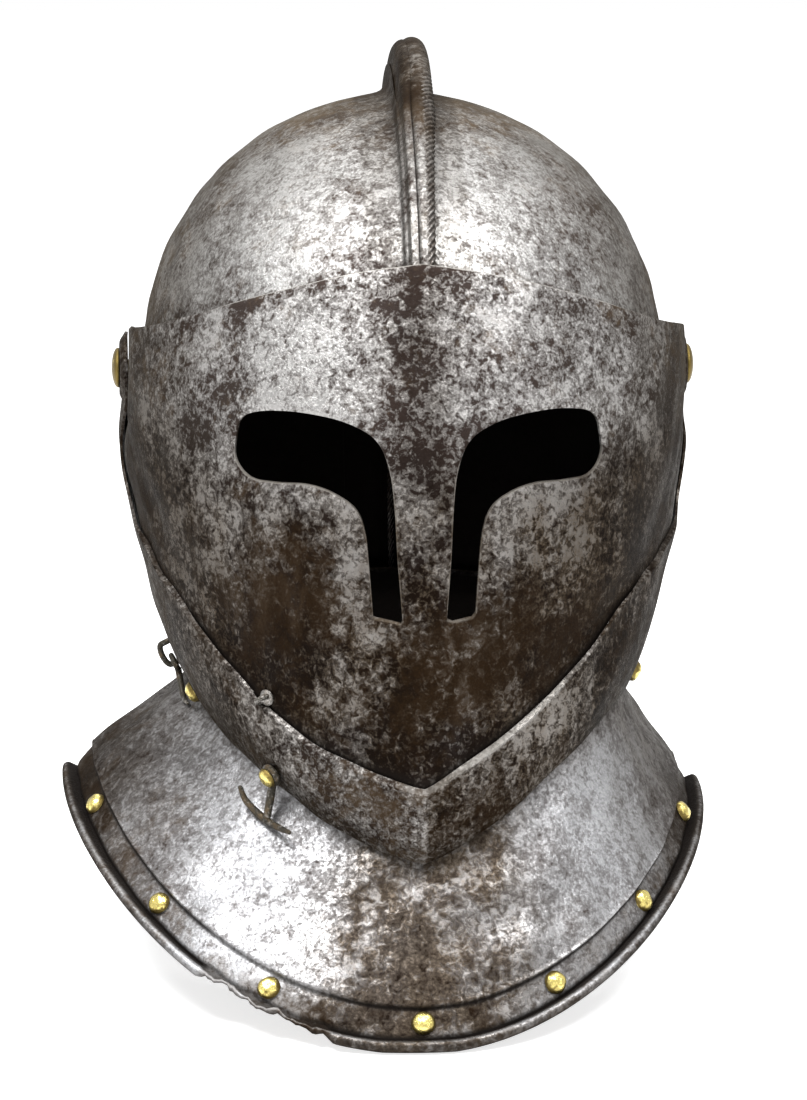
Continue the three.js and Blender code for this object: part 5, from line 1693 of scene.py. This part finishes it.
@dataclass
class Studio:
    """Pale floor, white background, two soft lamps and a fill, and the camera at the photograph's angle."""

    aim: tuple[float, float, float] = (0.0065, 0.0125, 0.137)
    azimuth: float = -3.2
    elevation: float = 11.0
    distance: float = 1.3
    lens: float = 116.5
    sensor: float = 36.0
    floor_half: float = 8.0
    floor_grey: float = 0.8
    floor_glow: float = 0.74
    sky: float = 0.4

    def aimed(self, name: str, data: object, azimuth: float, elevation: float, distance: float) -> bpy.types.Object:
        """Object on a sphere about the aim point that looks at it."""
        a, e = math.radians(azimuth), math.radians(elevation)
        back = Vector((math.sin(a) * math.cos(e), -math.cos(a) * math.cos(e), math.sin(e)))
        thing = bpy.data.objects.new(name, data)
        thing.location = Vector(self.aim) + back * distance
        thing.rotation_mode = "QUATERNION"
        thing.rotation_quaternion = (-back).to_track_quat("-Z", "Y")
        bpy.context.scene.collection.objects.link(thing)
        return thing

    def camera(self) -> None:
        """Camera at the photograph's angle."""
        data = bpy.data.cameras.new("camera")
        data.lens = self.lens
        data.sensor_width = self.sensor
        bpy.context.scene.camera = self.aimed("camera", data, self.azimuth, self.elevation, self.distance)

    def lamp(self, name: str, azimuth: float, elevation: float, distance: float, size: float, watts: float) -> None:
        """Square soft lamp that faces the aim point."""
        data = bpy.data.lights.new(name, "AREA")
        data.shape = "SQUARE"
        data.size = size
        data.energy = watts
        self.aimed(name, data, azimuth, elevation, distance)

    @staticmethod
    def seen(w: Wiring) -> tuple[Node, Socket]:
        """The light path, and 1 where it comes from the camera or from gloss."""
        path = w.node("ShaderNodeLightPath")
        return path, w.most(path.outputs["Is Camera Ray"], path.outputs["Is Glossy Ray"])

    def background(self) -> None:
        """World that is white where it is seen directly, in gloss or through glass, and a plain grey for light."""
        world = bpy.data.worlds.new("studio")
        world.use_nodes = True
        world.node_tree.nodes.clear()
        w = Wiring(world.node_tree)
        path, seen = self.seen(w)
        grey, white = (
            w.node("ShaderNodeBackground", {"Color": (1, 1, 1, 1), "Strength": strength}).outputs[0]
            for strength in (self.sky, 1.0)
        )
        mixed = w.node("ShaderNodeMixShader", {0: w.most(seen, path.outputs["Is Transmission Ray"]), 1: grey, 2: white})
        w.node("ShaderNodeOutputWorld", {"Surface": mixed.outputs[0]})
        bpy.context.scene.world = world

    def floor(self) -> None:
        """Large pale floor that turns white to the camera but keeps the shadow."""
        half = self.floor_half
        mesh = bpy.data.meshes.new("floor")
        mesh.from_pydata([(-half, -half, 0), (half, -half, 0), (half, half, 0), (-half, half, 0)], [], [(0, 1, 2, 3)])
        floor = bpy.data.objects.new("floor", mesh)
        bpy.context.scene.collection.objects.link(floor)
        material, w, shader = new_material("pale_floor")
        w.put(shader, {"Base Color": rgba((self.floor_grey,) * 3), "Roughness": 0.9})
        light = {"Color": (1, 1, 1, 1), "Strength": w.times(self.seen(w)[1], self.floor_glow)}
        glow = w.node("ShaderNodeEmission", light)
        both = w.node("ShaderNodeAddShader", {0: shader.outputs[0], 1: glow.outputs[0]})
        output = next(n for n in w.tree.nodes if n.type == "OUTPUT_MATERIAL")
        w.put(output, {"Surface": both.outputs[0]})
        mesh.materials.append(material)

    def build(self) -> None:
        """Sets up the camera, the lamps, the world and the floor."""
        self.camera()
        self.lamp("lamp_left", -42.0, 58.0, 1.25, 0.5, 24.0)
        self.lamp("lamp_right", 40.0, 58.0, 1.25, 0.5, 20.0)
        self.lamp("lamp_back", 180.0, 55.0, 1.6, 0.9, 8.0)
        self.background()
        self.floor()
        bpy.context.scene.view_settings.view_transform = "Standard"


def main() -> None:
    """Builds the helmet and its studio."""
    logging.basicConfig(level=logging.INFO, format="%(name)s: %(message)s")
    effects = Effects()
    skull_steel, comb_steel, visor_steel, bevor_steel, gorget_steel = (finish.build(effects) for finish in (
        SteelFinish(
            "skull_steel", coverage=0.54, bright=(0.45, 0.445, 0.435), softness=0.12, grain=380.0, clouds=1.0,
        ),
        SteelFinish("comb_steel", coverage=0.46, softness=0.14, pits=0.3, shift=(0.3, 0, 0)),
        # The visor takes more painted shade towards grazing views.
        SteelFinish(
            "visor_steel", coverage=0.5, stain_amount=0.15, dark=(0.026, 0.022, 0.021), clouds=1.1, grain=410.0,
            grazing_shade_share=0.95, shift=(0.0, 0.4, 0.1),
        ),
        SteelFinish(
            "bevor_steel", coverage=0.54, stain_amount=0.1, dark=(0.024, 0.02, 0.018), worn=(0.2, 0.195, 0.185),
            edge_reach=0.2, clouds=0.7, shift=(0.7, 0.0, 0.3),
        ),
        SteelFinish(
            "gorget_steel", coverage=0.6, bright=(0.47, 0.475, 0.49), grain=340.0, clouds=0.9, softness=0.16,
            stain_amount=0.0, bright_roughness=0.32, shift=(0.1, 0.9, 0.0),
        ),
    ))
    brass, iron, leather = BrassFinish().build(effects), IronFinish().build(effects), LeatherFinish().build(effects)
    rubbed_iron = IronFinish(name="rubbed_iron", rubbing=0.5).build(effects)

    face, skull = FaceForm(), SkullForm()
    gorget = GorgetForm(face, skull)
    fastenings = Fastenings(face, skull, gorget)
    Skull(skull).build(skull_steel, comb_steel)
    Visor(face).build(visor_steel)
    Bevor(face).build(bevor_steel, fastenings.visor_stud_seat())
    Gorget(gorget).build(gorget_steel, leather)
    Rivets(face, skull, gorget).build(brass, iron)
    fastenings.build(iron, rubbed_iron, brass)
    Studio().build()


if __name__ == "__main__":
    main()
